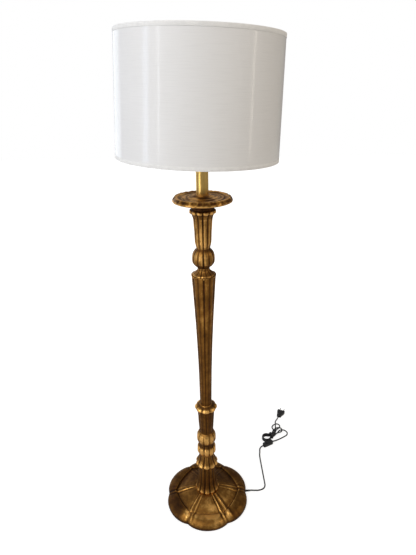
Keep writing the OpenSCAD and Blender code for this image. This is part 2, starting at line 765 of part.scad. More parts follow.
finial_bore = stud_len - spider_t + 1;
module finial() {
    color(brass) on_stud() translate([0, 0, spider_t]) difference() {
        rotate_extrude() polygon(concat([[0, 0], [8, 0], [8, 2.5], [5.4, 4.5], [5.4, 8], [8.5, 10.5], [9, 13]],
            [for (a = [0 : 15 : 90]) [mix(2, 7.5, cos(a)), mix(15, finial_h, sin(a))]], [[0, finial_h]]));
        translate([0, 0, -1]) cylinder(r = stud_r + fit, h = finial_bore + 1);
    }
}

// --- Cord ---------------------------------------------------------------------------------

// A tube of flat rings that stand square to the path
function heading(p, i) = unit(p[min(i + 1, len(p) - 1)] - p[max(i - 1, 0)]);
function tube_rings(p, r, n, across) = [for (i = [0 : len(p) - 1])
    let (t = heading(p, i), s = is_undef(across) ? unit(cross([0, 0, 1], t)) : across, u = cross(t, s))
    [for (k = [0 : n - 1]) p[i] + r * (s * cos(360 * k / n) + u * sin(360 * k / n))]];
module tube(p, r, n, across = undef) { skin(tube_rings(p, r, n, across)); }

// A smooth line through route points
function through(p, i, t) = let (a = p[max(i - 1, 0)], b = p[i], c = p[i + 1], d = p[min(i + 2, len(p) - 1)])
    0.5 * (2 * b + (c - a) * t + (2 * a - 5 * b + 4 * c - d) * t * t + (3 * b - a - 3 * c + d) * t * t * t);
function smoothed(p, n) = concat([for (i = [0 : len(p) - 2], k = [0 : n - 1]) through(p, i, k / n)], [last(p)]);

function flat_dir(a) = [cos(a), sin(a), 0];
floor_z = cord_r;
straight = cord_d + 0.5;

// Where the switch lies: its middle, and the way from its lamp end to its plug end
switch_at = [279, 266, 0];
switch_az = 27.5;
entry_z = 6;
switch_half = switch_l / 2 * flat_dir(switch_az);
switch_in = switch_at - switch_half + [0, 0, entry_z];
switch_out = switch_at + switch_half + [0, 0, entry_z];

// Where the plug lies: the middle of its rear, and the way that its pins point
plug_at = [357, 446, 0];
plug_az = 62.5;
plug_in = plug_at + [0, 0, plug_t / 2];

// The stretch from the lamp to the switch
exit_point = exit_at * flat_dir(cord_az) + [0, 0, exit_z];
lead_route = [[190, 13.8, 5.5], [204, 15.6, 3.2], [214.5, 18, floor_z], [223, 21.1, floor_z],
    [229.9, 26.9, floor_z], [234.4, 34.7, floor_z], [236, 43.6, floor_z], [236, 53, floor_z], [235.6, 72, floor_z],
    [235, 95, floor_z], [234.4, 122, floor_z], [233.8, 149, floor_z], [233.2, 176, floor_z],
    [233.6, 200, floor_z], [236.4, 219, floor_z], [237.8, 231, 3.2], [239.6, 238.8, 4.1], [244.5, 246.3, 5.1]];
lead_path = concat([exit_point, exit_point + straight * flat_dir(cord_az)], lead_route,
    [switch_in - straight * flat_dir(switch_az), switch_in]);

// The hank: three long loops fan out from a waist, and three short folds lie stacked behind it
waist = [301, 313];
waist_az = 27.5;
half_gap = 6;
layer = cord_d + 0.9;
tie_lift = 1;
climb = 34;
fan_len = 24;
// Each long loop: [azimuth, end radius, flare radius, neck, sag of its far side]
long_loops = [[19, 21, 38, 22, 0], [50, 18, 34, 20, 6], [69, 18, 44, 27, 9]];
fold_r = 18;
fold_neck = 0;
first_share = 0.355;

// A keyhole loop in its own plane: out on the right, round the end, back on the left
function keyhole_turn(r, flare) = acos((half_gap + flare) / (flare + r));
function keyhole_len(r, flare, neck) = let (t = keyhole_turn(r, flare) * PI / 180)
    2 * neck + 2 * flare * t + r * (PI + 2 * t);
function keyhole(q, r, flare, neck) =
    let (turn = keyhole_turn(r, flare), rise = flare * turn * PI / 180, all = keyhole_len(r, flare, neck),
        x = min(q, 1 - q) * all, side = q < 0.5 ? -1 : 1, mid = neck + (flare + r) * sin(turn))
    x < neck ? [x, side * half_gap]
    : x < neck + rise ? let (a = (x - neck) / flare * 180 / PI)
        [neck + flare * sin(a), side * (half_gap + flare * (1 - cos(a)))]
    : let (a = 90 + turn - (x - neck - rise) / r * 180 / PI) [mid + r * cos(a), side * r * sin(a)];

// The waist's line runs straight behind it and bends to each long loop's own azimuth
function waist_line(u, bend) = u <= 0 || bend == 0 ? u * [cos(waist_az), sin(waist_az)]
    : let (k = fan_len * 180 / PI / bend, a = waist_az + bend * min(u, fan_len) / fan_len)
        k * [sin(a) - sin(waist_az), cos(waist_az) - cos(a)] + max(0, u - fan_len) * [cos(a), sin(a)];
function on_waist(p, bend, z) =
    let (a = waist_az + bend * min(max(p[0], 0), fan_len) / fan_len,
        c = waist + waist_line(p[0], bend) + p[1] * [-sin(a), cos(a)])
    [c[0], c[1], z + floor_z + tie_lift * exp(-pow(p[0] / 16, 2))];

function long_point(k, q) =
    let (l = long_loops[k], all = keyhole_len(l[1], l[2], l[3]),
        up = k == 0 ? 0 : layer * (k - 1 + smooth(q * all / climb)) - l[4] * pow(sin(180 * smooth((q - 0.35) / 0.6)), 2))
    on_waist(keyhole(q, l[1], l[2], l[3]), l[0] - waist_az, up);
function fold_point(k, q) = on_waist(-keyhole(q, fold_r, fold_r, fold_neck), 0, layer * k);

long_steps = 15;
fold_steps = 9;
hank_turns = [for (k = [0 : 2]) each concat(
    [for (i = [0 : long_steps - 1]) long_point(k, mix(k == 0 ? first_share : 0, 1, i / long_steps))],
    [for (i = [0 : fold_steps - 1]) fold_point(k, i / fold_steps)])];
// The last stretch crosses over the longest loop and comes down to the plug
tail_route = [[312.6, 315.8, 19], [317.3, 322.5, 20.9], [321.5, 330, 21.9], [324.5, 341, 21.6], [326.5, 356, 19.6],
    [328.5, 371, 19], [330.5, 385, 18.8], [333, 400, 13.6], [336.8, 413, 7], [342, 423, 3.8], [348.2, 431.6, 4.8]];
hank_head = unit(long_point(0, first_share + 0.01) - long_point(0, first_share));
hank_tail = unit(tail_route[0] - fold_point(2, 1));
hank_start = hank_turns[0] - cord_d * hank_head;
hank_end = fold_point(2, 1) + cord_d * hank_tail;
hank_path = concat([hank_start], hank_turns, [fold_point(2, 1), hank_end]);
hank_gap = min([for (i = [0 : len(hank_path) - 2], j = [0 : len(hank_path) - 1], s = [0, 0.25, 0.5, 0.75])
    if (abs(i - j) > 3) norm(mix(hank_path[i], hank_path[i + 1], s) - hank_path[j])]) - cord_d;
echo(hank_gap = hank_gap);

link_route = [[320, 287, 4.2], [335, 295.5, 3], [351, 305, floor_z]];
link_path = concat([switch_out, switch_out + straight * flat_dir(switch_az)], link_route,
    [hank_start - straight * hank_head, hank_start]);

tail_path = concat([hank_end], tail_route, [plug_in - straight * flat_dir(plug_az), plug_in]);

module cord_lead() { color(black) tube(smoothed(lead_path, 2), cord_r, 8); }
module cord_link() { color(black) tube(smoothed(link_path, 1), cord_r, 8); }
module cord_hank() { color(black) tube(hank_path, cord_r, 6); }
module cord_tail() { color(black) tube(smoothed(tail_path, 2), cord_r, 8); }

// The cord inside the lamp: in along the channel, round a bend, and up the pipe
inner_bend = 18;
inner_cord_top = pipe_top - 2;
module inner_cord() {
    turn = [for (a = [0 : 15 : 90]) [inner_bend * (1 - sin(a)), 0, exit_z + inner_bend * (1 - cos(a))]];
    path = concat([[exit_at, 0, exit_z], [weight_r, 0, exit_z]], turn, [[0, 0, inner_cord_top]]);
    color(black) rotate([0, 0, cord_az]) tube(path, cord_r, 8, [0, -1, 0]);
}

tie_w = 8;
tie_t = 0.8;
module hank_tie() {
    room_y = 2 * (half_gap + cord_r) + 3.4;
    room_z = 2 * layer + cord_d + 1;
    out = [tie_w, room_y + 2 * tie_t, room_z + 2 * tie_t];
    color("#26262a") translate([waist[0], waist[1], 0]) rotate([0, 0, waist_az])
        translate([-tie_w / 2, 0, tie_lift - tie_t - 0.15]) difference() {
            translate([0, -out[1] / 2, 0]) cube(out);
            translate([-1, -room_y / 2, tie_t]) cube([tie_w + 2, room_y, room_z]);
        }
}

// The tapered strain relief where the cord leaves the base
module cord_relief() {
    inside = 12;
    color(black) rotate([0, 0, cord_az]) translate([0, 0, exit_z]) rotate([0, 90, 0]) difference() {
        union() {
            translate([0, 0, wall_out - inside]) cylinder(r = relief_r, h = inside + 1);
            translate([0, 0, wall_out]) cylinder(r1 = relief_r, r2 = cord_r + 0.5, h = relief_len);
        }
        translate([0, 0, wall_out - inside - 1]) cylinder(r = cord_r + 0.1, h = inside + relief_len + 2);
    }
}

// --- Switch on the cord -------------------------------------------------------------------

corner = 6;
split_z = 6;
shell_t = 1.6;
rocker_l = 19;
rocker_w = 8.6;
rocker_z = switch_h - 3.4;
rocker_rest = rocker_travel / 2;
pin_r = 1.2;
module in_switch() {
    translate(switch_at) rotate([0, 0, switch_az]) children();
}
module rounded(l, w, r) {
    square([l, w - 2 * r], center = true);
    square([l - 2 * r, w], center = true);
    for (x = [-1, 1], y = [-1, 1]) translate([x * (l / 2 - r), y * (w / 2 - r)]) circle(r = r);
}
screw_x = switch_l / 2 - 7;
module switch_screw_places() {
    for (x = [-1, 1]) translate([x * screw_x, switch_w / 2 - 4.4, 0]) children();
}

module switch_base() {
    color(black) in_switch() difference() {
        linear_extrude(split_z) rounded(switch_l, switch_w, corner);
        translate([0, 0, shell_t]) linear_extrude(split_z)
            rounded(switch_l - 22, switch_w - 2 * shell_t, corner - shell_t);
        switch_screw_places() cylinder(r = 1.3, h = split_z + 1);
        switch_screw_places() cylinder(r = 2.5, h = 2);
    }
}

module switch_cover() {
    color(black) in_switch() difference() {
        translate([0, 0, split_z]) linear_extrude(switch_h - split_z) rounded(switch_l, switch_w, corner);
        translate([0, 0, split_z - 1]) linear_extrude(switch_h - split_z - shell_t + 1)
            rounded(switch_l - 22, switch_w - 2 * shell_t, corner - shell_t);
        translate([0, 0, switch_h - 3]) linear_extrude(4)
            square([rocker_l + 1.4, rocker_w + 0.8], center = true);
        translate([0, 0, rocker_z]) rotate([90, 0, 0])
            cylinder(r = pin_r + fit, h = switch_w - 2 * shell_t + 2, center = true);
        switch_screw_places() cylinder(r = 1, h = split_z + 4);
    }
}

module switch_rocker() {
    half = rocker_l / 2;
    top = switch_h + 1 - rocker_z;
    dish = tan(rocker_rest) * half;
    color(black) in_switch() translate([0, 0, rocker_z]) rotate([0, rocker_rest, 0]) {
        rotate([90, 0, 0]) linear_extrude(rocker_w, center = true)
            polygon([[-half + 1, -1], [-2, -2.6], [2, -2.6], [half - 1, -1], [half, top + dish - 0.6], [0, top - 0.6],
                [-half, top + dish - 0.6]]);
        rotate([90, 0, 0]) cylinder(r = pin_r, h = switch_w - 2 * shell_t + 1, center = true);
    }
}

module switch_contacts() {
    color(brass) in_switch() for (x = [-1, 1])
        translate([x * 9 - 3, -2.5, shell_t]) cube([6, 5, 2]);
}

module switch_screws() {
    color(steel) in_switch() switch_screw_places() {
        translate([0, 0, 0.4]) cylinder(r = 2.4, h = 1.6);
        translate([0, 0, 1]) cylinder(r = 1 - fit, h = split_z + 2);
    }
}

// --- Plug ---------------------------------------------------------------------------------

pin_gap = 18.6;
plug_pin_r = 2;
pin_len = 19;
pin_root = 8;
rear_w = 20;
module in_plug() {
    translate(plug_at) rotate([0, 0, plug_az]) children();
}
module plug_pin_places(z) {
    for (side = [-1, 1]) translate([z, side * pin_gap / 2, plug_t / 2]) rotate([0, 90, 0]) children();
}
module plug_body() {
    half = plug_w / 2;
    rear = rear_w / 2;
    color(black) in_plug() difference() {
        linear_extrude(plug_t) polygon([[0, 3 - rear], [2, -rear], [8, -rear], [plug_l * 0.72, -half],
            [plug_l - 1, -half], [plug_l, 1 - half], [plug_l, half - 1], [plug_l - 1, half],
            [plug_l * 0.72, half], [8, rear], [2, rear], [0, rear - 3]]);
        plug_pin_places(plug_l - pin_root) cylinder(r = plug_pin_r + fit, h = pin_root + 1);
    }
}
module plug_pins() {
    color(steel) in_plug() plug_pin_places(plug_l - pin_root) cylinder(r = plug_pin_r, h = pin_root + pin_len);
}

felt_pad();
base_shell();
base_weight();
weight_screws();
pipe_washer();
pipe_nut();
pipe();
column_foot();
skirt_collar();
petal_bead();
lower_ball();
lower_vase();
leaf_collar();
main_shaft();
neck_flower();
melon_ball();
upper_vase();
upper_collar();
drip_dish();
candle_tube();
check_ring();
tube_cap();
tube_locknut();
harp_saddle();
harp();
ferrule_left();
ferrule_right();
holder_cap();
holder_shell();
holder_liner();
holder_block();
terminal_screws();
screw_shell();
center_contact();
bulb_tip();
bulb_cap();
bulb_glass();
harp_stud();
shade_panel();
spider_frame();
lower_ring();
upper_trim();
lower_trim();
finial();
inner_cord();
cord_relief();
cord_lead();
cord_link();
cord_hank();
hank_tie();
cord_tail();
switch_base();
switch_cover();
switch_rocker();
switch_contacts();
switch_screws();
plug_body();
plug_pins();
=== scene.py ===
# Candlestick floor lamp: the looks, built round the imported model. Tables and sizes are in
# millimetres, as in part.scad, and become metres where a mesh or a curve is made.
import math

import bmesh
import bpy
import numpy as np
from mathutils import Matrix, Vector, noise


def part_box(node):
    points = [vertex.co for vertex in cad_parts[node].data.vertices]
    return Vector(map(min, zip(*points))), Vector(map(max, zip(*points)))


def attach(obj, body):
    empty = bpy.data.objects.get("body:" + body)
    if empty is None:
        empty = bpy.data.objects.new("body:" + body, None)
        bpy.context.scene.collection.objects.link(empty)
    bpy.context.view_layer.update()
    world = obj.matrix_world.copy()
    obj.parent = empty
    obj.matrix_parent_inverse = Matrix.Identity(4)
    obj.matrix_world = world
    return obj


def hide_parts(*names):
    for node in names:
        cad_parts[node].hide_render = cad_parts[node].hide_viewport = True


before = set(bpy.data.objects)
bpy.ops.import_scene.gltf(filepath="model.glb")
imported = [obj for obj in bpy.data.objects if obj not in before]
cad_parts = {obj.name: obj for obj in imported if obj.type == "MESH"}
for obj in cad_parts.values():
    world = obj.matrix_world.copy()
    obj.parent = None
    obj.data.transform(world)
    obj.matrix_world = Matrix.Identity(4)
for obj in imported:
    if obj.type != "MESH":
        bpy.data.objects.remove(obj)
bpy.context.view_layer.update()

MM = 0.001
# The azimuth of the lamp's front in degrees, and how often each relief repeats round the axis
FRONT = -90.0
LOBES, PETALS, SKIRT_PETALS, GADROONS, LEAVES = 6, 12, 10, 10, 8


def levels(node):
    """The lowest and highest level of a CAD node at rest, in millimetres."""
    low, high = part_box(node)
    return round(low.z / MM, 1), round(high.z / MM, 1)


def bell(x, width):
    """1 at 0, falling off smoothly on both sides."""
    return np.exp(-((x / width) ** 2))


def rising(x, width):
    """0 up to 0, then straight up to 1 over the width."""
    return np.clip(x / width, 0, 1)


def placed(name, data):
    """Adds a mesh, a curve, a lamp or a camera to the scene."""
    piece = bpy.data.objects.new(name, data)
    bpy.context.scene.collection.objects.link(piece)
    return piece


def adopted(name, data, material, body, replaced):
    """Adds a mesh or a curve as a piece of a body that stands for CAD nodes."""
    data.materials.append(material)
    piece = placed(name, data)
    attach(piece, body)
    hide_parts(*replaced)
    return piece


# --- Camera, fitted to the photograph ---

CAMERA_AT = (0.0, -1.2954, 1.5043)
FOCAL_PX, LONG_SIDE_PX = 445.88, 555
PITCH, YAW, ROLL = (math.radians(a) for a in (23.2513, 0.5918, -0.7275))


def make_camera():
    data = bpy.data.cameras.new("camera")
    data.sensor_width = 36
    data.lens = FOCAL_PX / LONG_SIDE_PX * data.sensor_width
    data.clip_start, data.clip_end = 0.01, 100
    right = Vector((math.cos(YAW), -math.sin(YAW), 0))
    level = Vector((math.sin(YAW), math.cos(YAW), 0))
    ahead = level * math.cos(PITCH) - Vector((0, 0, math.sin(PITCH)))
    up = Vector((0, 0, math.cos(PITCH))) + level * math.sin(PITCH)
    rolled_right = math.cos(ROLL) * right + math.sin(ROLL) * up
    rolled_up = math.cos(ROLL) * up - math.sin(ROLL) * right
    turn = Matrix((rolled_right, rolled_up, -ahead)).transposed()
    camera = placed("camera", data)
    camera.matrix_world = Matrix.Translation(CAMERA_AT) @ turn.to_4x4()
    bpy.context.scene.camera = camera


make_camera()


# --- Shader helpers ---


class Nodes:
    """A node tree whose nodes are added one by one."""

    def __init__(self, tree):
        self.tree = tree

    def add(self, kind, **settings):
        node = self.tree.nodes.new(kind)
        for key, value in settings.items():
            setattr(node, key, value)
        return node

    def link(self, source, target):
        self.tree.links.new(source, target)

    def put(self, node, values):
        """Sets or links each named or numbered input of the node."""
        for key, value in values.items():
            socket = node.inputs[key]
            if isinstance(value, bpy.types.NodeSocket):
                self.link(value, socket)
            else:
                socket.default_value = value

    def math(self, kind, a, b=0.0, clamp=False):
        node = self.add("ShaderNodeMath", operation=kind, use_clamp=clamp)
        self.put(node, {0: a, 1: b})
        return node.outputs[0]

    def span(self, value, low, high, to_low=0.0, to_high=1.0):
        node = self.add("ShaderNodeMapRange", interpolation_type="SMOOTHSTEP")
        self.put(node, {"Value": value, 1: low, 2: high, 3: to_low, 4: to_high})
        return node.outputs["Result"]

    def ramp(self, value, stops):
        node = self.add("ShaderNodeValToRGB")
        ramp = node.color_ramp
        for place, colour in stops[1:-1]:
            ramp.elements.new(place)
        for element, (place, colour) in zip(ramp.elements, stops):
            element.position = place
            element.color = (*colour, 1)
        self.link(value, node.inputs["Fac"])
        return node.outputs["Color"]

    def mix(self, share, a, b):
        node = self.add("ShaderNodeMix", data_type="RGBA")
        colours = [c if isinstance(c, bpy.types.NodeSocket) else (*c, 1) for c in (a, b)]
        self.put(node, {"Factor": share, 6: colours[0], 7: colours[1]})
        return node.outputs[2]

    def seen(self, reflected):
        """1 to the camera and through glass, the given share in a reflection, 0 as a source of light."""
        path = self.add("ShaderNodeLightPath").outputs
        straight = self.math("MAXIMUM", path["Is Camera Ray"], path["Is Transmission Ray"])
        return self.math("MAXIMUM", straight, self.math("MULTIPLY", path["Is Glossy Ray"], reflected))


class Shader(Nodes):
    """A Principled material."""

    def __init__(self, name, **constants):
        self.material = bpy.data.materials.new(name)
        self.material.use_nodes = True
        super().__init__(self.material.node_tree)
        self.principled = self.tree.nodes["Principled BSDF"]
        self.shade(**constants)
        self.point = self.add("ShaderNodeTexCoord").outputs["Object"]

    def stretched(self, scale, at=None):
        node = self.add("ShaderNodeMapping")
        self.put(node, {"Vector": at or self.point, "Scale": scale})
        return node.outputs["Vector"]

    def noise(self, scale, detail=4.0, roughness=0.6, at=None):
        node = self.add("ShaderNodeTexNoise")
        self.put(node, {"Vector": at or self.point, "Scale": scale, "Detail": detail,
                        "Roughness": roughness})
        return node.outputs["Fac"]

    def swayed(self, value, noise, share, clamp=False):
        """The value with a share of a noise, taken as centred on 0.5, added."""
        sway = self.math("MULTIPLY", self.math("SUBTRACT", noise, 0.5), share)
        return self.math("ADD", value, sway, clamp)

    def varied(self, middle, noise, width):
        """A value with a noise's variation about it."""
        return self.math("ADD", self.math("MULTIPLY", noise, width), middle - width / 2)

    def clouded(self, colour, times, noise, low, high):
        """A colour that turns to so many times itself where a noise rises from low to high."""
        return self.mix(self.span(noise, low, high), colour, tuple(times * c for c in colour))

    def attribute(self, name):
        return self.add("ShaderNodeAttribute", attribute_name=name).outputs["Fac"]

    def bump(self, height, distance, strength=1.0, after=None):
        node = self.add("ShaderNodeBump")
        self.put(node, {"Height": height, "Distance": distance, "Strength": strength})
        if after is not None:
            self.link(after, node.inputs["Normal"])
        return node.outputs["Normal"]

    def shade(self, **sockets):
        self.put(self.principled, {key.replace("_", " "): value for key, value in sockets.items()})
        return self.material


# --- Materials ---


# Gold leaf's colour from the deepest grooves and painted shade, 0, to the most worn crests and painted
# highlights, 1
LEAF_COLOURS = [(0.0, (0.034, 0.012, 0.003)), (0.28, (0.088, 0.036, 0.007)), (0.5, (0.170, 0.078, 0.016)),
                (0.72, (0.320, 0.160, 0.038)), (1.0, (0.880, 0.510, 0.155))]
BOLE_RED, DIRT_BROWN = (0.105, 0.024, 0.009), (0.026, 0.014, 0.007)


def make_gilt(name, tone, bole=0.5):
    """Old gold leaf over red bole: bright on worn crests and painted highlights, umber in the grooves
    and painted shade. The attribute it reads is 1 on what stands proud and 0 in hollows, and the
    carved pieces add painted highlights and painted shade to it."""
    s = Shader(name, Metallic=0.8, Roughness=0.46)
    crest = s.attribute("crest")
    patch = s.noise(48, 6, 0.7)
    # This follows the attribute, so it carries painted highlights and painted shade as well as wear.
    worn_and_lit = s.swayed(crest, s.noise(15, 5, 0.62), 0.75)
    worn_and_lit = s.swayed(worn_and_lit, patch, 0.55)
    worn_and_lit = s.swayed(worn_and_lit, s.noise(60, 4, 0.6, s.stretched((1, 1, 0.12))), 0.35, clamp=True)
    toned = [(place, tuple(t * c for t, c in zip(tone, colour))) for place, colour in LEAF_COLOURS]
    leaf = s.ramp(worn_and_lit, toned)
    red = s.math("MULTIPLY", s.span(s.noise(30, 5, 0.65), 0.50, 0.66), s.span(worn_and_lit, 0.66, 0.2))
    leaf = s.mix(s.math("MULTIPLY", red, bole), leaf, BOLE_RED)
    dirt = s.math("MULTIPLY", s.span(s.noise(290, 3, 0.6), 0.6, 0.72), s.span(crest, 0.75, 0.35))
    leaf = s.mix(s.math("MULTIPLY", dirt, 0.6), leaf, DIRT_BROWN)
    metallic = s.span(worn_and_lit, 0.1, 0.65, 0.86, 0.97)
    rough = s.math("ADD", s.span(worn_and_lit, 0.15, 0.85, 0.60, 0.36), s.math("MULTIPLY", patch, 0.08))
    coarse = s.bump(s.noise(95, 5, 0.65), 0.0012, 0.8)
    fine = s.bump(s.noise(620, 3, 0.6), 0.00025, 0.7, coarse)
    return s.shade(Base_Color=leaf, Metallic=metallic, Roughness=rough, Normal=fine)


def make_brass(name, colour, roughness, lengthwise=(1, 1, 0.02)):
    """Lacquered brass with fine turning or drawing marks."""
    s = Shader(name, Metallic=1.0)
    marks = s.noise(900, 3, 0.6, s.stretched(lengthwise))
    return s.shade(Base_Color=s.clouded(colour, 0.86, s.noise(22, 4, 0.6), 0.35, 0.7),
                   Roughness=s.varied(roughness, marks, 0.10), Normal=s.bump(marks, 0.00004, 0.6))


def make_metal(name, colour, roughness, grain=500):
    s = Shader(name, Metallic=1.0)
    marks = s.noise(grain, 4, 0.6)
    return s.shade(Base_Color=s.clouded(colour, 0.75, s.noise(30, 4, 0.6), 0.4, 0.7),
                   Roughness=s.varied(roughness, marks, 0.14), Normal=s.bump(marks, 0.00005, 0.5))


def make_plastic(name, colour, roughness, grain=1400, depth=0.00006):
    s = Shader(name)
    texture = s.noise(grain, 3, 0.6)
    return s.shade(Base_Color=s.clouded(colour, 1.35, s.noise(45, 4, 0.6), 0.35, 0.7),
                   Roughness=s.varied(roughness, texture, 0.12), Normal=s.bump(texture, depth, 0.6))


# A wave texture repeats once over this length, in metres, at a scale of 1
WAVE_SCALE = 0.314


def weave(s, warp, weft):
    """A plain weave's height over a wall whose UVs are in metres, and those UVs."""
    uv = s.add("ShaderNodeTexCoord").outputs["UV"]
    threads = []
    for axis, pitch in (("X", warp), ("Y", weft)):
        wave = s.add("ShaderNodeTexWave", wave_type="BANDS", bands_direction=axis, wave_profile="SIN")
        s.put(wave, {"Vector": uv, "Scale": WAVE_SCALE / pitch, "Distortion": 0.35, "Detail": 2.0,
                     "Detail Scale": 0.6})
        threads.append(wave.outputs["Fac"])
    return s.math("MULTIPLY", threads[0], threads[1]), uv


def make_shade_cloth(name, colour, coat):
    """Satin laminated under a clear film, with slubs in the cloth and slight ripples in the wall."""
    s = Shader(name, Roughness=0.42, Coat_Weight=coat, Coat_Roughness=0.13, Coat_IOR=1.5, Sheen_Weight=0.08)
    height, uv = weave(s, 0.00045, 0.00055)
    slub = s.noise(60, 3, 0.55, s.stretched((0.25, 9.0, 1.0), uv))
    ripple = s.noise(7.5, 2, 0.5, s.stretched((1.0, 0.22, 1.0), uv))
    wall = s.bump(ripple, 0.0032, 0.8)
    cloth = s.bump(s.math("ADD", height, s.math("MULTIPLY", slub, 0.8)), 0.00005, 0.55, wall)
    return s.shade(Base_Color=s.clouded(colour, 0.965, slub, 0.42, 0.72), Normal=cloth, Coat_Normal=wall)


def make_tape(name, colour):
    s = Shader(name, Roughness=0.6, Sheen_Weight=0.15)
    height = weave(s, 0.0006, 0.0006)[0]
    return s.shade(Base_Color=s.clouded(colour, 0.94, s.noise(80, 3, 0.6), 0.4, 0.7),
                   Normal=s.bump(height, 0.00008, 0.7))


def make_glass(name):
    """An opal globe, coated on the inside."""
    s = Shader(name, Roughness=0.16, Subsurface_Weight=0.25, Coat_Weight=0.8, Coat_Roughness=0.03)
    cloud = s.span(s.noise(40, 2, 0.5), 0.3, 0.7)
    return s.shade(Base_Color=s.mix(cloud, (0.90, 0.90, 0.87), (0.94, 0.93, 0.90)),
                   Roughness=s.span(s.noise(300, 2, 0.5), 0.0, 1.0, 0.12, 0.2))


def make_felt(name):
    s = Shader(name, Roughness=0.95, Sheen_Weight=0.4)
    fibre = s.noise(700, 5, 0.7)
    tone = s.mix(fibre, (0.020, 0.018, 0.014), (0.062, 0.055, 0.044))
    return s.shade(Base_Color=tone, Normal=s.bump(fibre, 0.0004, 0.8))


gilt = make_gilt("gilt", (1.10, 1.06, 1.02))
gilt_shaft = make_gilt("gilt_shaft", (0.88, 0.78, 0.62), 0.9)
gilt_base = make_gilt("gilt_base", (1.00, 0.95, 0.86), 0.5)
tube_brass = make_brass("tube_brass", (0.800, 0.520, 0.160), 0.30)
brass = make_brass("brass", (0.700, 0.500, 0.210), 0.30, (1, 1, 0.4))
steel = make_metal("steel", (0.520, 0.530, 0.540), 0.34)
iron = make_metal("iron", (0.080, 0.080, 0.085), 0.62, 180)
nickel = make_metal("nickel", (0.720, 0.710, 0.690), 0.16)
cap_metal = make_metal("cap_metal", (0.620, 0.620, 0.630), 0.26)
cloth = make_shade_cloth("shade_cloth", (0.840, 0.832, 0.826), 0.85)
liner_film = make_shade_cloth("shade_liner", (0.860, 0.855, 0.840), 0.25)
tape = make_tape("trim_tape", (0.860, 0.852, 0.840))
opal = make_glass("opal_glass")
felt = make_felt("felt")
sheath = make_plastic("cord_sheath", (0.0125, 0.0125, 0.0135), 0.42, 900, 0.00005)
moulded = make_plastic("moulded_black", (0.0140, 0.0140, 0.0150), 0.36)
strap = make_plastic("tie_strap", (0.0180, 0.0180, 0.0195), 0.55, 1100)
fibre_board = make_plastic("fibre_board", (0.480, 0.430, 0.350), 0.80, 300, 0.0002)
phenolic = make_plastic("phenolic", (0.045, 0.030, 0.022), 0.30)


# --- Mesh helpers ---


def linked(name, mesh, material, body, replaced, sharp=38):
    """Adopts a mesh, smooth but for edges sharper than so many degrees."""
    mesh.shade_smooth()
    mesh.set_sharp_from_angle(angle=math.radians(sharp))
    return adopted(name, mesh, material, body, replaced)


def ring_faces(rings, sides):
    """Quads between rings of vertices that close round, one ring after another."""
    faces = []
    for low in range(0, (rings - 1) * sides, sides):
        for i in range(sides):
            k = (i + 1) % sides
            faces.append((low + i, low + k, low + sides + k, low + sides + i))
    return faces


def end_faces(rings, sides):
    """The two many-sided faces that close the first and the last ring."""
    return [tuple(range(sides))[::-1], tuple(range((rings - 1) * sides, rings * sides))]


def add_floats(mesh, name, values):
    layer = mesh.attributes.new(name, "FLOAT", "POINT")
    layer.data.foreach_set("value", np.asarray(values, np.float32).ravel())


def eased(table, at):
    """Monotone cubic through a table of [place, value] rows, so that no value overshoots."""
    table = np.asarray(table, float)
    x, y = table[:, 0], table[:, 1]
    step = np.diff(x)
    slope = np.diff(y) / step
    tangent = np.zeros_like(x)
    tangent[0], tangent[-1] = slope[0], slope[-1]
    same = slope[:-1] * slope[1:] > 0
    w1, w2 = 2 * step[1:] + step[:-1], step[1:] + 2 * step[:-1]
    with np.errstate(divide="ignore", invalid="ignore"):
        mean = (w1 + w2) / (w1 / slope[:-1] + w2 / slope[1:])
    tangent[1:-1] = np.where(same, mean, 0)
    at = np.clip(at, x[0], x[-1])
    k = np.clip(np.searchsorted(x, at, side="right") - 1, 0, len(x) - 2)
    t = (at - x[k]) / step[k]
    return (y[k] * (1 + 2 * t) * (1 - t) ** 2 + step[k] * tangent[k] * t * (1 - t) ** 2
            + y[k + 1] * t * t * (3 - 2 * t) + step[k] * tangent[k + 1] * t * t * (t - 1))


def eased_rows(rows, along, at):
    """The rows of a profile, which stand at the places along it, taken at other places."""
    return np.stack([eased(np.stack([along, column], 1), at) for column in rows.T], 1)


def dense_rows(rows, spacing=1.6):
    """Rows of a profile, [height, radius, ...], made close enough to follow every curve."""
    rows = np.asarray(rows, float)
    steps = np.hypot(np.diff(rows[:, 0]), np.diff(rows[:, 1]))
    along = np.concatenate([[0], np.cumsum(np.maximum(steps, 0.01))])
    count = max(int(along[-1] / spacing), 12)
    at = np.unique(np.concatenate([np.linspace(0, along[-1], count), along]))
    return eased_rows(rows, along, at)


def unevenness(points, broad, fine):
    """Two octaves of noise at each point. Broad and fine are their sizes along x, y and z."""
    broad, fine = np.asarray(broad, float), np.asarray(fine, float)
    return np.array([noise.noise(tuple(p / broad)) + 0.5 * noise.noise(tuple(p / fine)) for p in points])


def hand_cut(grid, depth):
    """Moves each point outwards by a little noise, as a carver's hand does."""
    flat = grid.reshape(-1, 3)
    out = unevenness(flat, (15, 15, 26), (5, 5, 8))
    radial = flat[:, :2] / np.maximum(np.hypot(flat[:, 0], flat[:, 1]), 1)[:, None]
    flat[:, :2] += radial * (out * depth)[:, None]
    return flat.reshape(grid.shape)


def blurred(values, rows, columns):
    """A box blur over a grid that closes round its second axis."""
    out = values
    if columns > 0:
        out = sum(np.roll(out, k, axis=1) for k in range(-columns, columns + 1)) / (2 * columns + 1)
    if rows > 0:
        padded = np.concatenate([np.repeat(out[:1], rows, 0), out, np.repeat(out[-1:], rows, 0)])
        out = sum(padded[k:k + len(values)] for k in range(2 * rows + 1)) / (2 * rows + 1)
    return out


@np.vectorize
def mottled(x, y, z):
    """Two octaves of noise."""
    return noise.noise((x, y, z)) + 0.5 * noise.noise((2.3 * x, 2.3 * y, 2.3 * z))


def mottle(z, r, a, across, along):
    """Noise drawn out along the turning: across is its size over the rings, along round them."""
    rad = np.radians(a)
    return mottled(np.cos(rad) * along, np.sin(rad) * along, (r + z) / across)


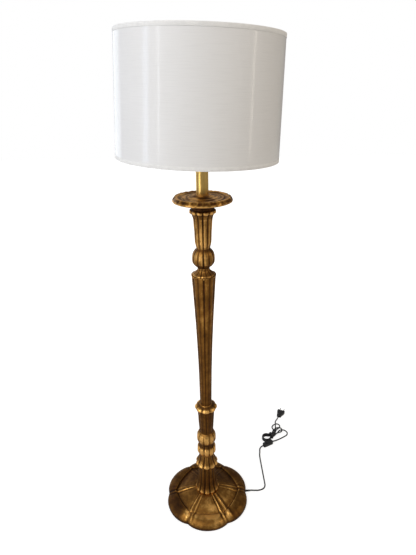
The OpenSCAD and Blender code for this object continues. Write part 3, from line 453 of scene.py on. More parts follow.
def crests(grid, reach, depth):
    """How far each point stands proud of its surroundings: 1 on a crest, 0 in a hollow."""
    along = np.gradient(grid, axis=0)
    around = np.roll(grid, -1, 1) - np.roll(grid, 1, 1)
    normal = np.cross(around, along)
    normal /= np.maximum(np.linalg.norm(normal, axis=2, keepdims=True), 1e-9)
    step_along = np.median(np.linalg.norm(along, axis=2))
    step_around = np.median(np.linalg.norm(around, axis=2)) / 2
    rows, columns = (max(1, int(reach / max(s, 0.05))) for s in (step_along, step_around))
    proud = ((grid - blurred(blurred(grid, rows, columns), rows // 2, columns // 2)) * normal).sum(axis=2)
    outward = (normal[:, :, :2] * grid[:, :, :2]).sum(axis=2) + normal[:, :, 2] * 20
    proud = np.where(np.median(outward) < 0, -proud, proud)
    return np.clip(0.5 + proud / depth, 0, 1)


def skin_mesh(name, grid, crest):
    rings, sides = grid.shape[:2]
    mesh = bpy.data.meshes.new(name)
    faces = ring_faces(rings, sides) + end_faces(rings, sides)
    mesh.from_pydata((grid.reshape(-1, 3) * MM).tolist(), [], faces)
    add_floats(mesh, "crest", crest)
    return mesh


# --- Reliefs ---


def share_round(a, repeats):
    """Share of the way round one repeat of a relief, from 0 at the front."""
    x = (a - FRONT) * repeats / 360
    return x - np.floor(x)


def reeds(a):
    """Twelve soft reeds in pairs: a deep groove between the pairs, one of them at the front,
    and a shallow groove within each."""
    x = share_round(a, LOBES)
    y = np.minimum(x, 1 - x) * 60
    crowned = (np.abs(y - 15) / 15) ** 2
    return 0.62 * bell(y, 4.6) + 0.19 * bell(y - 30, 5) + 0.12 * crowned


def petals(a, repeats, narrow=2.6):
    """Round petals, one of which faces the front: 0 on a petal's middle, 1 between petals."""
    x = share_round(a, repeats)
    return (1 - np.abs(2 * x - 1)) ** narrow


def carved(name, node, rows, relief, material, carving=3.6, sides=288, cut_by=0.22, reach=4.5, proud=1.0,
           extra=None, light_and_wear=None):
    """A carved turning on the seat of the CAD node that it stands for. Each row is [height,
    radius, share of the carving's depth, lift of the grooves], and what it leaves out is 0.
    Extra adds its own relief to radius and height. Reach is how far round itself a crest is
    judged, proud how far out it has to stand, and the last argument adds to it: painted
    highlights and painted shade on most pieces, a plain shift of tone on some."""
    rows = dense_rows([[*row, 0, 0][:4] for row in rows])
    height, radius, share, lift = (rows[:, k:k + 1] for k in range(4))
    a = (FRONT + np.arange(sides) * 360 / sides)[None, :]
    cut = relief(a)
    r = radius - carving * share * cut
    z = height + lift * cut
    if extra is not None:
        dr, dz = extra(height, radius, a)
        r, z = r + dr, z + dz
    rad = np.radians(a)
    grid = np.stack([r * np.cos(rad), r * np.sin(rad), z + levels(node)[0] + 0 * rad], 2)
    grid = hand_cut(grid, cut_by)
    crest = crests(grid, reach, proud)
    # Painted highlights and painted shade, given per piece, are added to the crests here.
    if light_and_wear is not None:
        crest = np.clip(crest + light_and_wear(height, radius, a), 0, 1)
    return linked(name, skin_mesh(name, grid, crest), material, "stand", [node])


# --- Carved column ---


def turned(node, low_r, high_r, swell, shape):
    """Rows for a CAD node's turning, from [share of its height, share of the swell, share of
    the carving's depth, lift of the grooves, if any]."""
    low, high = levels(node)
    return [[(high - low) * t, low_r + (high_r - low_r) * t + swell * s, *rest] for t, s, *rest in shape]


def make_stem():
    """The column below its shaft: a petalled foot, skirt and bead, a ball, a vase and a leaf collar."""
    # The foot gets a painted highlight on its petal tips near its bottom, and painted shade above them,
    # under the skirt.
    carved("carved_foot", "column_foot", turned("column_foot", 39, 31.5, 6.7, [
        [0.03, -1, 0], [0.016, -0.3, 0.5, 2.5], [0.004, 0.55, 0.9, 3], [0.02, 0.88, 1.2, 2.5],
        [0.05, 1, 1.3, 1], [0.1, 0.72, 1.3], [0.15, 0.34, 1.15], [0.22, 0.02, 1], [0.37, -0.3, 0.85],
        [0.65, -0.27, 0.75], [0.9, -0.05, 0.7], [1, -0.2, 0.6]]),
        lambda a: petals(a, PETALS), gilt_base, carving=3, reach=5.5, proud=2.4,
        light_and_wear=lambda z, r, a: 0.34 * bell(z - 4, 6) - 0.2 * rising(z - 12, 30))
    # The skirt gets a painted highlight on its petals' lower lips and a little painted shade above them.
    carved("carved_skirt", "skirt_collar", turned("skirt_collar", 31.5, 27, 11.5, [
        [0.14, -0.1, 0], [0.1, 0.35, 0.5, 2.4], [0.065, 0.68, 0.9, 3.6], [0.085, 0.9, 1.2, 4.4],
        [0.14, 1, 1.3, 3.4], [0.2, 0.96, 1.3, 1.4], [0.27, 0.82, 1.2, 0.5], [0.43, 0.46, 1],
        [0.66, 0.14, 0.85], [0.88, 0, 0.7], [1, -0.05, 0.4]]),
        lambda a: petals(a + 2, SKIRT_PETALS), gilt, reach=5.5, proud=2,
        light_and_wear=lambda z, r, a: 0.28 * bell(z - 9, 8) - 0.10 * rising(z - 16, 20))
    # The bead gets a painted highlight on its petals' lit lower lips and painted shade near its top, under
    # the ball.
    carved("carved_bead", "petal_bead", turned("petal_bead", 27, 27, 8.2, [
        [0, 0, 0], [0.05, 0.04, 0], [0.11, 0.12, 0.3, 1.2], [0.13, 0.42, 0.8, 3], [0.19, 0.66, 1.1, 3.2],
        [0.28, 0.9, 1.3, 2], [0.42, 1, 1.3, 0.8], [0.6, 0.95, 1.2], [0.74, 0.66, 1], [0.86, 0.12, 0.6],
        [1, -0.16, 0.3]]),
        lambda a: petals(a, GADROONS), gilt, reach=5, proud=1.6,
        light_and_wear=lambda z, r, a: 0.60 * bell(z - 24, 12) - 0.24 * bell(z - 46, 9))
    # The ball gets a painted highlight high on it and painted shade on its underside, which faces down.
    carved("carved_ball", "lower_ball", turned("lower_ball", 27, 25.2, 9.2, [
        [0, -0.16, 0.2], [0.07, 0, 0.3], [0.15, 0.36, 0.5], [0.27, 0.76, 0.8], [0.42, 0.97, 1],
        [0.57, 1.02, 1], [0.72, 0.95, 1], [0.86, 0.66, 0.8], [0.96, 0.2, 0.5], [1, 0, 0.2]]),
        lambda a: petals(a, GADROONS), gilt, carving=1.3, cut_by=0.5, reach=6, proud=2,
        light_and_wear=lambda z, r, a: 0.2 * bell(z - 34, 13) - 0.22 * bell(z - 5, 9))
    carved("carved_vase", "lower_vase", turned("lower_vase", 25.2, 30, 1, [
        [0, 0.4, 0.1], [0.03, 0.7, 0.3], [0.08, 0.2, 0.8], [0.3, 0.15, 0.95], [0.62, 0.2, 0.95],
        [0.9, 0.1, 0.9], [1, 0, 0.6], [1.16, -1, 0.3]]),
        reeds, gilt_shaft, carving=2.4, proud=2.6, light_and_wear=lambda z, r, a: -0.14)
    # The leaf collar gets a painted highlight in a band along the leaves' rims.
    carved("carved_leaves", "leaf_collar", [
        [13, 28.2, 0], [11, 30.6, 0.2, 2.4], [10.2, 32.6, 0.4, 3.8], [10.6, 34.8, 0.6, 4],
        [12, 37.6, 0.8, 2.8], [14, 39.4, 0.9, 1.2], [16.4, 40.4, 1], [18.6, 40.6, 1, -1],
        [22, 39, 0.9, -1.6], [24.6, 36.2, 0.8, -1.8], [26.4, 32.6, 0.7, -1.6], [27.6, 29, 0.5, -1.2],
        [28.8, 25.8, 0.4, -0.6], [30.4, 23.2, 0.2], [32.2, 21.5, 0.1], [32.2, 19.6, 0]],
        lambda a: petals(a, LEAVES, 1.5) + 0.3 * petals(a + 22.5, LEAVES, 4), gilt, reach=5, proud=1.9,
        light_and_wear=lambda z, r, a: 0.26 * bell(z - 17 + 5 * petals(a, LEAVES, 1.0), 6))


SHAFT_LOW_R, SHAFT_SPREAD, LIP_R = 20.4, 18.6, 39.9
BEAD_R, BEAD_OUT, BEAD_DROP = 2.5, 37, 3.6


def make_shaft():
    """The tapered, reeded shaft with a scalloped lip, and a bead at the head of each deep groove."""
    low, high = levels("main_shaft")
    h = high - low
    taper = [[0, 0], [0.145, 0.054], [0.337, 0.145], [0.453, 0.247], [0.628, 0.435], [0.869, 0.785]]
    rows = [[h * t, SHAFT_LOW_R + SHAFT_SPREAD * s, 0.42 + 0.6 * t] for t, s in taper]
    rows += [[h - 9, 38.3, 1], [h - 4.4, 38.6, 1, 2], [h - 3.2, 38.5, 0.9, 3],
             [h - 2.4, LIP_R - 0.3, 0.6, 3.4], [h - 0.8, LIP_R, 0.6, 3.4], [h, LIP_R - 0.9, 0.6, 3],
             [h - 0.4, 37.4, 0.6, 1.5], [h - 1.6, 35.6, 0.6], [h - 1.8, 31, 0.3]]
    carved("carved_shaft", "main_shaft", rows, reeds, gilt_shaft, carving=2.8, sides=240, reach=6,
           proud=2.4, light_and_wear=lambda z, r, a: -0.06)
    mesh = bpy.data.meshes.new("shaft_beads")
    work = bmesh.new()
    for k in range(LOBES):
        a = math.radians(FRONT + 360 * k / LOBES)
        place = Vector((BEAD_OUT * math.cos(a), BEAD_OUT * math.sin(a), high - BEAD_DROP)) * MM
        turn = Matrix.Translation(place)
        bmesh.ops.create_icosphere(work, subdivisions=3, radius=BEAD_R * MM, matrix=turn)
    work.to_mesh(mesh)
    work.free()
    add_floats(mesh, "crest", np.full(len(mesh.vertices), 0.95))
    linked("shaft_beads", mesh, gilt, "stand", ["main_shaft"])


def make_head():
    """The column above its shaft: a neck, a melon, a vase and its collar."""
    # The neck gets a painted highlight that grows towards its top, over a slightly darker tone.
    carved("carved_neck", "neck_flower", [
        [-2, 34.4, 0.3], [0.4, 36, 0.6], [2.6, 35, 0.8], [5, 32.2, 0.9], [8.6, 27.4, 0.9], [12.6, 23, 0.9],
        [17, 20.2, 0.8], [21, 18.9, 0.5], [24, 18.8, 0.2]],
        lambda a: 0.7 * petals(a, PETALS, 1.6) + 0.2 * petals(a + 15, PETALS, 3), gilt, reach=4, proud=1.5,
        light_and_wear=lambda z, r, a: 0.16 * rising(z - 4, 10) - 0.04)
    # The melon gets a painted highlight in a band 38 mm above its foot, over an overall darker tone.
    carved("carved_melon", "melon_ball", turned("melon_ball", 19.6, 21.4, 15.6, [
        [0, 0.02, 0.2], [0.03, 0.08, 0.4], [0.08, 0.34, 0.8], [0.19, 0.72, 1.1], [0.31, 0.96, 1.3],
        [0.45, 1, 1.3], [0.61, 0.94, 1.3], [0.75, 0.76, 1.1], [0.88, 0.42, 0.8], [0.96, 0.1, 0.5],
        [1, 0, 0.3]]),
        reeds, gilt, carving=2.8, reach=6, proud=1.9, light_and_wear=lambda z, r, a: 0.20 * bell(z - 38, 14) - 0.24)
    carved("carved_upper_vase", "upper_vase", turned("upper_vase", 21.4, 30.4, 2.5, [
        [0, 0, 0.3], [0.07, 0.4, 0.9], [0.21, 1, 1.1], [0.34, 0.8, 1.1], [0.55, 0.28, 1.1],
        [0.74, 0.12, 1.1], [0.92, -0.2, 1.1], [1, -0.02, 1]]),
        reeds, gilt, reach=6, proud=1.7, light_and_wear=lambda z, r, a: -0.03)
    # The collar gets a painted highlight on its petal tips and painted shade above them, under the dish.
    carved("carved_collar", "upper_collar", turned("upper_collar", 30.4, 38, 7, [
        [0, 0, 1], [0.14, 0.06, 0.9], [0.26, 0.16, 0.8], [0.335, 0.28, 0.8, 1.2], [0.365, 0.62, 0.9, 2.4],
        [0.41, 0.9, 1.1, 2.6], [0.47, 1, 1.2, 1.4], [0.54, 0.96, 1.2, 0.4], [0.6, 0.72, 0.9],
        [0.65, 0.3, 0.6], [0.7, -0.1, 0.4], [0.84, -0.34, 0.2], [1, 0, 0.1]]),
        lambda a: np.maximum(0.9 * petals(a + 15, PETALS, 2.0), reeds(a)), gilt, reach=4, proud=1.7,
        light_and_wear=lambda z, r, a: 0.25 * bell(z - 16, 3) - 0.22 * rising(z - 23, 6))


# The dish's outer radius, the levels of its rim's underside, its crest and its boss, and the
# well's depth
DISH_R, DISH_UNDER, DISH_CREST, BOSS, WELL = 89.6, 12, 26, 31, 3.5


def dish_relief(z, r, a):
    """Leaf tips cut into the rim's slope, and worn steps in the well."""
    top = rising(z - DISH_UNDER - 3, 6)
    slope = top * bell(r - 81, 6.5)
    cuts = np.clip(1.6 * mottle(z, r, a, 5, 7), -1, 1)
    well = top * rising(76 - r, 6) * rising(r - 27, 6)
    return 0.9 * cuts * slope, well * 0.8 * mottle(z, r, a, 11, 1.1) + 0.9 * cuts * slope


def dish_light_and_wear(z, r, a):
    """Bright at the thin edge, dark and cut about on the rim's slope, streaked gold in the well,
    which a painted light makes lighter towards the back and darker towards the front."""
    slope = bell(z - DISH_UNDER - 9, 3.4) * (r > 78)
    well = rising(84 - r, 5) * (z > DISH_UNDER + 4)
    edge = bell(z - DISH_UNDER - 2.5, 2.4) * (r > 84)
    streaks, cuts = mottle(z, r, a, 8, 1.1), mottle(z, r, a, 4, 6)
    # Painted light: the well is lighter towards the back and darker towards the front.
    painted_back_light = 0.14 * np.sin(np.radians(a - 20))
    lines = bell(r - 66 - 2 * streaks, 1.8) + 0.7 * bell(r - 47 + 2 * streaks, 1.6)
    return (well * (0.30 + painted_back_light + 0.6 * streaks - 0.25 * lines) + slope * (0.6 * cuts - 0.2)
            + edge * (0.16 + 0.4 * cuts))


def make_dish():
    """The drip dish, carved by its own relief alone."""
    carved("carved_dish", "drip_dish", [
        [0, 37.8], [0.3, 40.5], [1.2, 44], [4, 61.5], [7.4, 74], [9.4, 81.6], [11, DISH_R - 3.4],
        [12.4, DISH_R - 1], [14.6, DISH_R], [17.6, DISH_R - 0.8], [20.6, DISH_R - 2.6], [23.6, DISH_R - 5.4],
        [DISH_CREST, DISH_R - 8.6], [DISH_CREST - 0.4, DISH_R - 11.4],
        [DISH_CREST - 0.7 * WELL, DISH_R - 14.6], [DISH_CREST - WELL - 0.6, 66],
        [DISH_CREST - WELL - 0.4, 58], [DISH_CREST - 0.6 * WELL, 45], [DISH_CREST + 0.4, 34],
        [DISH_CREST + 2.4, 28.6], [BOSS - 1.2, 25.6], [BOSS, 23.8], [BOSS, 19.6]],
        lambda a: 0 * a, gilt, sides=432, cut_by=0.6, reach=6, proud=3.2, extra=dish_relief, light_and_wear=dish_light_and_wear)


# --- Carved base ---

# Radii of a lobe's edge, of the groove inside the rim and of the column's seat, how far the rim
# steps in at a rib, half a lobe in degrees, and the felt's, the wood's and the ribs' heights
BASE_R, GROOVE_R, SEAT_R, RIM_NOTCH, HALF_LOBE = 161, 110, 41, 10, 30
FELT_T, BASE_H, ROLL_Z = 2, 50, 30.5
BASE_SIDES, BASE_ROWS = 504, 130
# A double rib's relief, from its middle outwards
RIB_RELIEF = [[0, -1.1], [2.5, -0.8], [5, 0.6], [7.4, 1.9], [9.4, 1.3], [11.6, -0.4], [13.6, -1.2],
              [16, -0.6], [19, 0], [400, 0]]
# For each rib, from the front right round to the front left: how strong its two sides are. The
# front right rib's second side is broader than the others by BROAD_RIB.
BROAD_RIB = 1.8
RIB_STRENGTH = [(1.2, 1.3), (0.45, 0.7), (0.4, 0.4), (0.4, 0.4), (0.3, 1.1), (0.65, 0.65)]
# Spots of wear and of painted light, painted highlights on the front roll and the dome and painted
# shade on the outer rim at the sides and over the back: degrees from the front, radius, size, and
# what each adds to the crests
WEAR_AND_LIGHT = [(-19, 127, 11, 0.55), (-10, 126, 11, 0.55), (0, 125, 11, 0.55), (9, 126, 11, 0.5),
        (17, 127, 10, 0.4), (12, 146, 14, 0.2), (-4, 150, 16, -0.1), (33, 126, 10, 0.5),
        (32, 141, 9, 0.5), (46, 148, 17, -0.35), (-36, 124, 12, 0.7), (-32, 136, 10, 0.35),
        (-44, 152, 16, -0.3), (-54, 136, 24, -0.42), (-70, 142, 26, -0.42), (8, 92, 22, 0.28),
        (-12, 70, 28, 0.22), (88, 82, 22, 0.26), (60, 84, 26, 0.14), (-90, 80, 30, 0.10),
        (66, 146, 26, -0.26), (92, 146, 30, -0.26), (118, 146, 30, -0.2), (-90, 148, 30, -0.5),
        (-115, 146, 30, -0.3), (150, 100, 60, -0.25), (-150, 100, 60, -0.25)]


def from_rib(a):
    """Degrees from the nearest double rib. The ribs stand between the lobes."""
    x = (a - FRONT - HALF_LOBE) * LOBES / 360
    x = x - np.floor(x)
    return np.minimum(x, 1 - x) * 2 * HALF_LOBE


def base_rows(rim, groove):
    """The base's profile at one azimuth: height, radius and share of the rib's relief."""
    rows = [[3.5, rim - 12, 0], [0.2, rim - 8, 0], [0, rim - 4, 0], [0.8, rim - 1.8, 0],
            [2.6, rim - 0.8, 0], [9, rim, 0], [14.5, rim - 1, 0.1], [20, rim - 4.2, 0.35],
            [26, rim - 11, 0.7], [30, rim - 19, 0.95], [ROLL_Z + 1.8, rim - 27, 1],
            [ROLL_Z + 2.6, groove + 9, 1], [ROLL_Z + 2.2, groove + 3.4, 1], [ROLL_Z - 2, groove + 0.8, 1],
            [ROLL_Z - 3.2, groove - 1.6, 1], [ROLL_Z - 1.4, groove - 5, 1], [ROLL_Z + 0.6, groove - 9, 1]]
    for share, rise in ((0.35, 0.42), (0.5, 0.61), (0.65, 0.78), (0.8, 0.92)):
        rows.append([ROLL_Z + (BASE_H - ROLL_Z) * rise, groove + (SEAT_R - groove) * share, 1])
    rows += [[BASE_H - 0.5, groove + (SEAT_R - groove) * 0.9, 0.7], [BASE_H, SEAT_R, 0.1],
             [BASE_H - 2, SEAT_R - 8, 0]]
    along, at = np.linspace(0, 1, len(rows)), np.linspace(0, 1, BASE_ROWS)
    return eased_rows(np.asarray(rows, float), along, at)


def make_base():
    """Six lobes with a double rib between each two."""
    a = FRONT + HALF_LOBE + np.arange(BASE_SIDES) * 360 / BASE_SIDES
    away = from_rib(a)
    rim = BASE_R - RIM_NOTCH * (1 - away / HALF_LOBE) ** 2.5
    groove = GROOVE_R * (0.55 / np.cos(np.radians(HALF_LOBE - away)) + 0.475)
    profile = np.stack([base_rows(*radii) for radii in zip(rim, groove)], 1)
    z, r, share = (profile[:, :, k] for k in range(3))
    lobe = (a - FRONT - HALF_LOBE) / (2 * HALF_LOBE)
    rib = np.round(lobe).astype(int)
    side = (lobe > rib).astype(int)
    strength = np.asarray(RIB_STRENGTH)[rib % LOBES, side]
    breadth = np.where((rib % LOBES == 0) & (side == 1), BROAD_RIB, 1.0)
    across = r * np.sin(np.radians(np.minimum(away, HALF_LOBE)))
    across = across * (GROOVE_R / np.maximum(r, SEAT_R - 1)) ** 0.6 / breadth
    z = z + eased(RIB_RELIEF, across.ravel()).reshape(across.shape) * strength * share
    rad = np.radians(a)
    grid = np.stack([r * np.cos(rad), r * np.sin(rad), z + FELT_T], 2)
    flat = grid.reshape(-1, 3)
    above = flat[:, 2] > FELT_T + 6
    flat[above, 2] += 0.55 * unevenness(flat[above], (26, 26, 20), (8, 8, 8))
    grid = flat.reshape(grid.shape)
    # The base darkens on its rim's low outer face, below 17 mm: painted shade, as that face turns from the
    # light above.
    crest = crests(grid, 8, 4.2) - 0.34 * rising(17 - z, 9)
    # Each spot lifts or lowers the crests: wear, painted highlights and painted shade.
    for azimuth, out, size, gain in WEAR_AND_LIGHT:
        spot = math.radians(FRONT + azimuth)
        off = np.hypot(grid[:, :, 0] - out * math.cos(spot), grid[:, :, 1] - out * math.sin(spot))
        crest = crest + gain * bell(off, size)
    mesh = skin_mesh("carved_base", grid, np.clip(crest, 0, 1))
    linked("carved_base", mesh, gilt_base, "stand", ["base_shell"])


# --- Shade ---

# The level of the washer's seat on the stud, and the stud's lean
SEAT_Z, LEAN = 1617, math.radians(2.3)
# Measured from that seat: the shade's rim and foot, its radii there and its wall's thickness
SHADE_RIM, SHADE_FOOT = 13, -298
SHADE_LOW_R, SHADE_TOP_R, SHADE_T = 228.5, 220, 1.5
# Height of the trims' tape, its thickness, and its gap to the wall
TRIM_H, TAPE_T, TAPE_GAP = 9, 0.7, 0.1
SHADE_SIDES, SHADE_STEPS = 320, 24


def shade_r(z):
    return SHADE_LOW_R + (SHADE_TOP_R - SHADE_LOW_R) * (z - SHADE_FOOT) / (SHADE_RIM - SHADE_FOOT)


def leaning(x, y, z):
    """A point measured from the washer's seat, in the lean of the stud."""
    return (x * math.cos(LEAN) + z * math.sin(LEAN), y, z * math.cos(LEAN) - x * math.sin(LEAN) + SEAT_Z)


def lathe(name, profile, sides, material, body, node, lean=False, sharp=38):
    """Adds a turned skin round a closed profile of [radius, height] points, with UVs in metres."""
    verts = []
    for r, z in profile:
        for i in range(sides + 1):
            a = 2 * math.pi * i / sides + math.pi / 2
            p = (r * math.cos(a), r * math.sin(a), z)
            verts.append([MM * c for c in (leaning(*p) if lean else p)])
    n, m = sides + 1, len(profile)
    faces, uvs = [], []
    around = 2 * math.pi * MM * max(r for r, z in profile)
    run = [0]
    for (r0, z0), (r1, z1) in zip(profile, profile[1:] + profile[:1]):
        run.append(run[-1] + MM * math.hypot(r1 - r0, z1 - z0))
    for j in range(m):
        k = (j + 1) % m
        for i in range(sides):
            faces.append((j * n + i, j * n + i + 1, k * n + i + 1, k * n + i))
            u = (around * i / sides, around * (i + 1) / sides)
            uvs += [(u[0], run[j]), (u[1], run[j]), (u[1], run[j + 1]), (u[0], run[j + 1])]
    mesh = bpy.data.meshes.new(name)
    mesh.from_pydata(verts, [], faces)
    layer = mesh.uv_layers.new(name="UVMap")
    layer.data.foreach_set("uv", [c for uv in uvs for c in uv])
    work = bmesh.new()
    work.from_mesh(mesh)
    bmesh.ops.remove_doubles(work, verts=work.verts, dist=1e-7)
    bmesh.ops.recalc_face_normals(work, faces=work.faces)
    work.to_mesh(mesh)
    work.free()
    linked(name, mesh, material, body, [node], sharp)


def make_trim(name, node, z, way):
    """Folded tape over the wall's edge at a level; way is 1 for the rim and -1 for the foot."""
    far = z - way * TRIM_H
    edge = z + way * TAPE_GAP
    crown = edge + way * TAPE_T
    out, far_out = shade_r(z) + TAPE_GAP, shade_r(far) + TAPE_GAP
    in_, far_in = shade_r(z) - SHADE_T - TAPE_GAP, shade_r(far) - SHADE_T - TAPE_GAP
    band = [(far_in - TAPE_T, far), (far_in, far), (in_, edge), (out, edge), (far_out, far),
            (far_out + 0.6 * TAPE_T, far), (far_out + TAPE_T, far + way * 0.8),
            (out + TAPE_T, edge - way * 0.4), (out + 0.6 * TAPE_T, crown - way * 0.1), (out - 0.5, crown),
            (in_ + 0.5, crown), (in_ - 0.6 * TAPE_T, crown - way * 0.1), (in_ - TAPE_T, edge - way * 0.4)]
    lathe(name, band, SHADE_SIDES, tape, "shade", node, lean=True, sharp=60)


def make_shade():
    heights = [SHADE_FOOT + (SHADE_RIM - SHADE_FOOT) * k / SHADE_STEPS for k in range(SHADE_STEPS + 1)]
    outer = [(shade_r(z), z) for z in heights]
    middle = [(shade_r(z) - SHADE_T / 2, z) for z in heights]
    inner = [(shade_r(z) - SHADE_T, z) for z in heights]
    for name, skin, material in (("shade_outer", outer + middle[::-1], cloth),
                                 ("shade_inner", middle + inner[::-1], liner_film)):
        lathe(name, skin, SHADE_SIDES, material, "shade", "shade_panel", lean=True)
    make_trim("trim_top", "upper_trim", SHADE_RIM, 1)
    make_trim("trim_bottom", "lower_trim", SHADE_FOOT, -1)


# --- Metalwork ---


def rounded_copy(node, material, body, width, segments=2):
    """A CAD node's own shape, with every edge sharper than 30 degrees rounded."""
    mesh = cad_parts[node].data.copy()
    mesh.materials.clear()
    work = bmesh.new()
    work.from_mesh(mesh)
    bmesh.ops.remove_doubles(work, verts=work.verts, dist=1e-6)
    bmesh.ops.dissolve_limit(work, angle_limit=math.radians(1), verts=work.verts, edges=work.edges)
    edges = [e for e in work.edges if e.is_manifold and e.calc_face_angle(0) > math.radians(30)]
    bmesh.ops.bevel(work, geom=edges, offset=width * MM, segments=segments, profile=0.5, affect="EDGES",
                    clamp_overlap=True)
    work.to_mesh(mesh)
    work.free()
    return linked(node + "_finished", mesh, material, body, [node], 35)


def repaint(material, *nodes):
    for node in nodes:
        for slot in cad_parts[node].material_slots:
            slot.material = material


# The harp: half its width at the legs and at the arch, its wire's radius, the bends' radius, its
# height and the level of its feet
LEG_HALF, HARP_HALF, WIRE_R, BEND_R, HARP_H, LEG_Z = 26, 57, 1.9, 30, 240, 1370
FERRULE_H, FERRULE_LIFT, PEG_H = 14, 10, 8
HARP_HUB = [(3.25, -12), (5.4, -12), (6, -11.4), (6, -2.6), (5.4, -2.05), (3.25, -2.05)]


def tube_mesh(name, path, radius, sides):
    """A round tube along a path of points in millimetres."""
    path = [Vector(p) for p in path]
    verts = []
    side = None
    for i, p in enumerate(path):
        ahead = (path[min(i + 1, len(path) - 1)] - path[max(i - 1, 0)]).normalized()
        if side is None:
            side = ahead.orthogonal().normalized()
        side = (side - ahead * side.dot(ahead)).normalized()
        other = ahead.cross(side)
        for k in range(sides):
            a = 2 * math.pi * k / sides
            verts.append((p + radius * (side * math.cos(a) + other * math.sin(a))) * MM)
    mesh = bpy.data.meshes.new(name)
    faces = ring_faces(len(path), sides) + end_faces(len(path), sides)
    mesh.from_pydata([tuple(v) for v in verts], [], faces)
    return mesh


def make_harp():
    """Two legs that bend out into a round arch, with the stud's hub at its crown."""
    bend = math.acos(1 - (HARP_HALF - LEG_HALF) / (2 * BEND_R))
    straight = FERRULE_H - PEG_H / 2 + FERRULE_LIFT + 1.5
    bends_end = straight + 2 * BEND_R * math.sin(bend)
    side = [(LEG_HALF, 0, 0), (LEG_HALF, 0, straight / 2), (LEG_HALF, 0, straight)]
    for k in range(1, 13):
        a = bend * k / 12
        side.append((LEG_HALF + BEND_R * (1 - math.cos(a)), 0, straight + BEND_R * math.sin(a)))
    for k in range(1, 13):
        a = bend * (1 - k / 12)
        side.append((HARP_HALF - BEND_R * (1 - math.cos(a)), 0, bends_end - BEND_R * math.sin(a)))
    arch_z = HARP_H - HARP_HALF
    side += [(HARP_HALF, 0, bends_end + (arch_z - bends_end) * k / 4) for k in range(1, 4)]
    turns = [math.radians(a) for a in range(0, 181, 5)]
    arch = [(HARP_HALF * math.cos(a), 0, arch_z + HARP_HALF * math.sin(a)) for a in turns]
    path = side + arch + [(-x, y, z) for x, y, z in side[::-1]]
    wire = tube_mesh("harp_wire", [(x, y, z + LEG_Z) for x, y, z in path], WIRE_R, 20)
    linked("harp_wire", wire, brass, "stand", ["harp"])
    lathe("harp_hub", HARP_HUB, 48, brass, "stand", "harp", lean=True)


# The finial's height, the level of its foot above the washer's seat, and the start of its rounded
# top; then its beads, as [radius, height]
FINIAL_H, FINIAL_FOOT, FINIAL_TOP = 26, 1.5, 15
FINIAL_BEADS = [(3.3, 0.4), (3.3, 0), (7.6, 0), (8, 0.4), (8, 2.1), (7.4, 2.6), (6, 3.4), (5.4, 4.6),
                (5.2, 6), (5.4, 7.6), (6.8, 8.6), (8.5, 10.3), (9, 12.2), (8.9, 13.6), (7.9, 14.6),
                (7.5, 15.2)]


def make_finial():
    """A turned knob with two beads under a rounded top."""
    turns = [math.radians(a) for a in range(6, 91, 6)]
    top = [(2 + 5.5 * math.cos(a), FINIAL_TOP + (FINIAL_H - FINIAL_TOP) * math.sin(a)) for a in turns]
    bore = [(0.01, FINIAL_H), (0.01, 17.6), (3.25, 17.5)]
    knob = [(r, z + FINIAL_FOOT) for r, z in FINIAL_BEADS + top + bore]
    lathe("finial_knob", knob, 64, brass, "finial_body", "finial", lean=True)


TUBE_R, TUBE_BORE, TUBE_EDGE = 18.3, 17.1, 0.3


def make_tube():
    """The brass candle tube, with its edges eased."""
    low, high = levels("candle_tube")
    profile = [(TUBE_R - TUBE_EDGE, low), (TUBE_R, low + TUBE_EDGE), (TUBE_R, high - TUBE_EDGE),
               (TUBE_R - TUBE_EDGE, high), (TUBE_BORE, high), (TUBE_BORE, low)]
    lathe("brass_tube", profile, 96, tube_brass, "stand", "candle_tube")


# The bulb, measured from its tip: its length, its globe's and neck's radii, its glass, the levels
# where the glass starts and where the neck widens, and half the cone's angle
BULB_L, GLOBE_R, NECK_R, GLASS_T = 105, 30, 12.35, 1.1
GLASS_LOW, NECK_TOP, CONE = 10.6, 28, math.radians(38)
THREAD_TURNS, THREAD_H, THREAD_R, THREAD_DEPTH = 5, 20, 12.95, 0.25


def make_bulb():
    """The glass as one smooth skin, with the rolled thread on its cap."""
    tip = levels("bulb_tip")[0]
    centre = BULB_L - GLOBE_R
    glass = [(NECK_R - GLASS_T, GLASS_LOW), (NECK_R, GLASS_LOW), (NECK_R, NECK_TOP)]
    end = (GLOBE_R * math.cos(CONE), centre - GLOBE_R * math.sin(CONE))
    for k in range(1, 8):
        t = k / 8
        glass.append((NECK_R + (end[0] - NECK_R) * t * t * (3 - 2 * t), NECK_TOP + (end[1] - NECK_TOP) * t))
    for k in range(0, 21):
        a = -CONE + (math.pi / 2 + CONE) * k / 20
        glass.append((max(GLOBE_R * math.cos(a), 0.01), centre + GLOBE_R * math.sin(a)))
    inside = [(max(r - GLASS_T, 0.01), z - (GLASS_T if z > centre else 0)) for r, z in glass[3:-1]][::-1]
    profile = [(r, z + tip) for r, z in glass + [(0.01, BULB_L - GLASS_T)] + inside]
    lathe("bulb_globe", profile, 96, opal, "bulb", "bulb_glass")
    low = levels("bulb_cap")[0]
    thread = [(12.4, low + 0.2), (12.9, low)]
    for k in range(0, 61):
        t = k / 60
        r = THREAD_R + THREAD_DEPTH * math.cos(2 * math.pi * THREAD_TURNS * t)
        thread.append((r, low + 2 + THREAD_H * t))
    thread += [(12.8, low + 23.6), (12.7, low + 25), (12.4, low + 25), (12.4, low + 2), (0.01, low + 2),
               (0.01, low + 0.2)]
    lathe("bulb_thread", thread, 64, cap_metal, "bulb", "bulb_cap")


# --- Cord, switch and plug ---

# The cord's thickness, its middle's level on the floor, and its straight start at every fitting
CORD_D = 5.5
FLOOR_Z, STRAIGHT = CORD_D / 2, CORD_D + 0.5
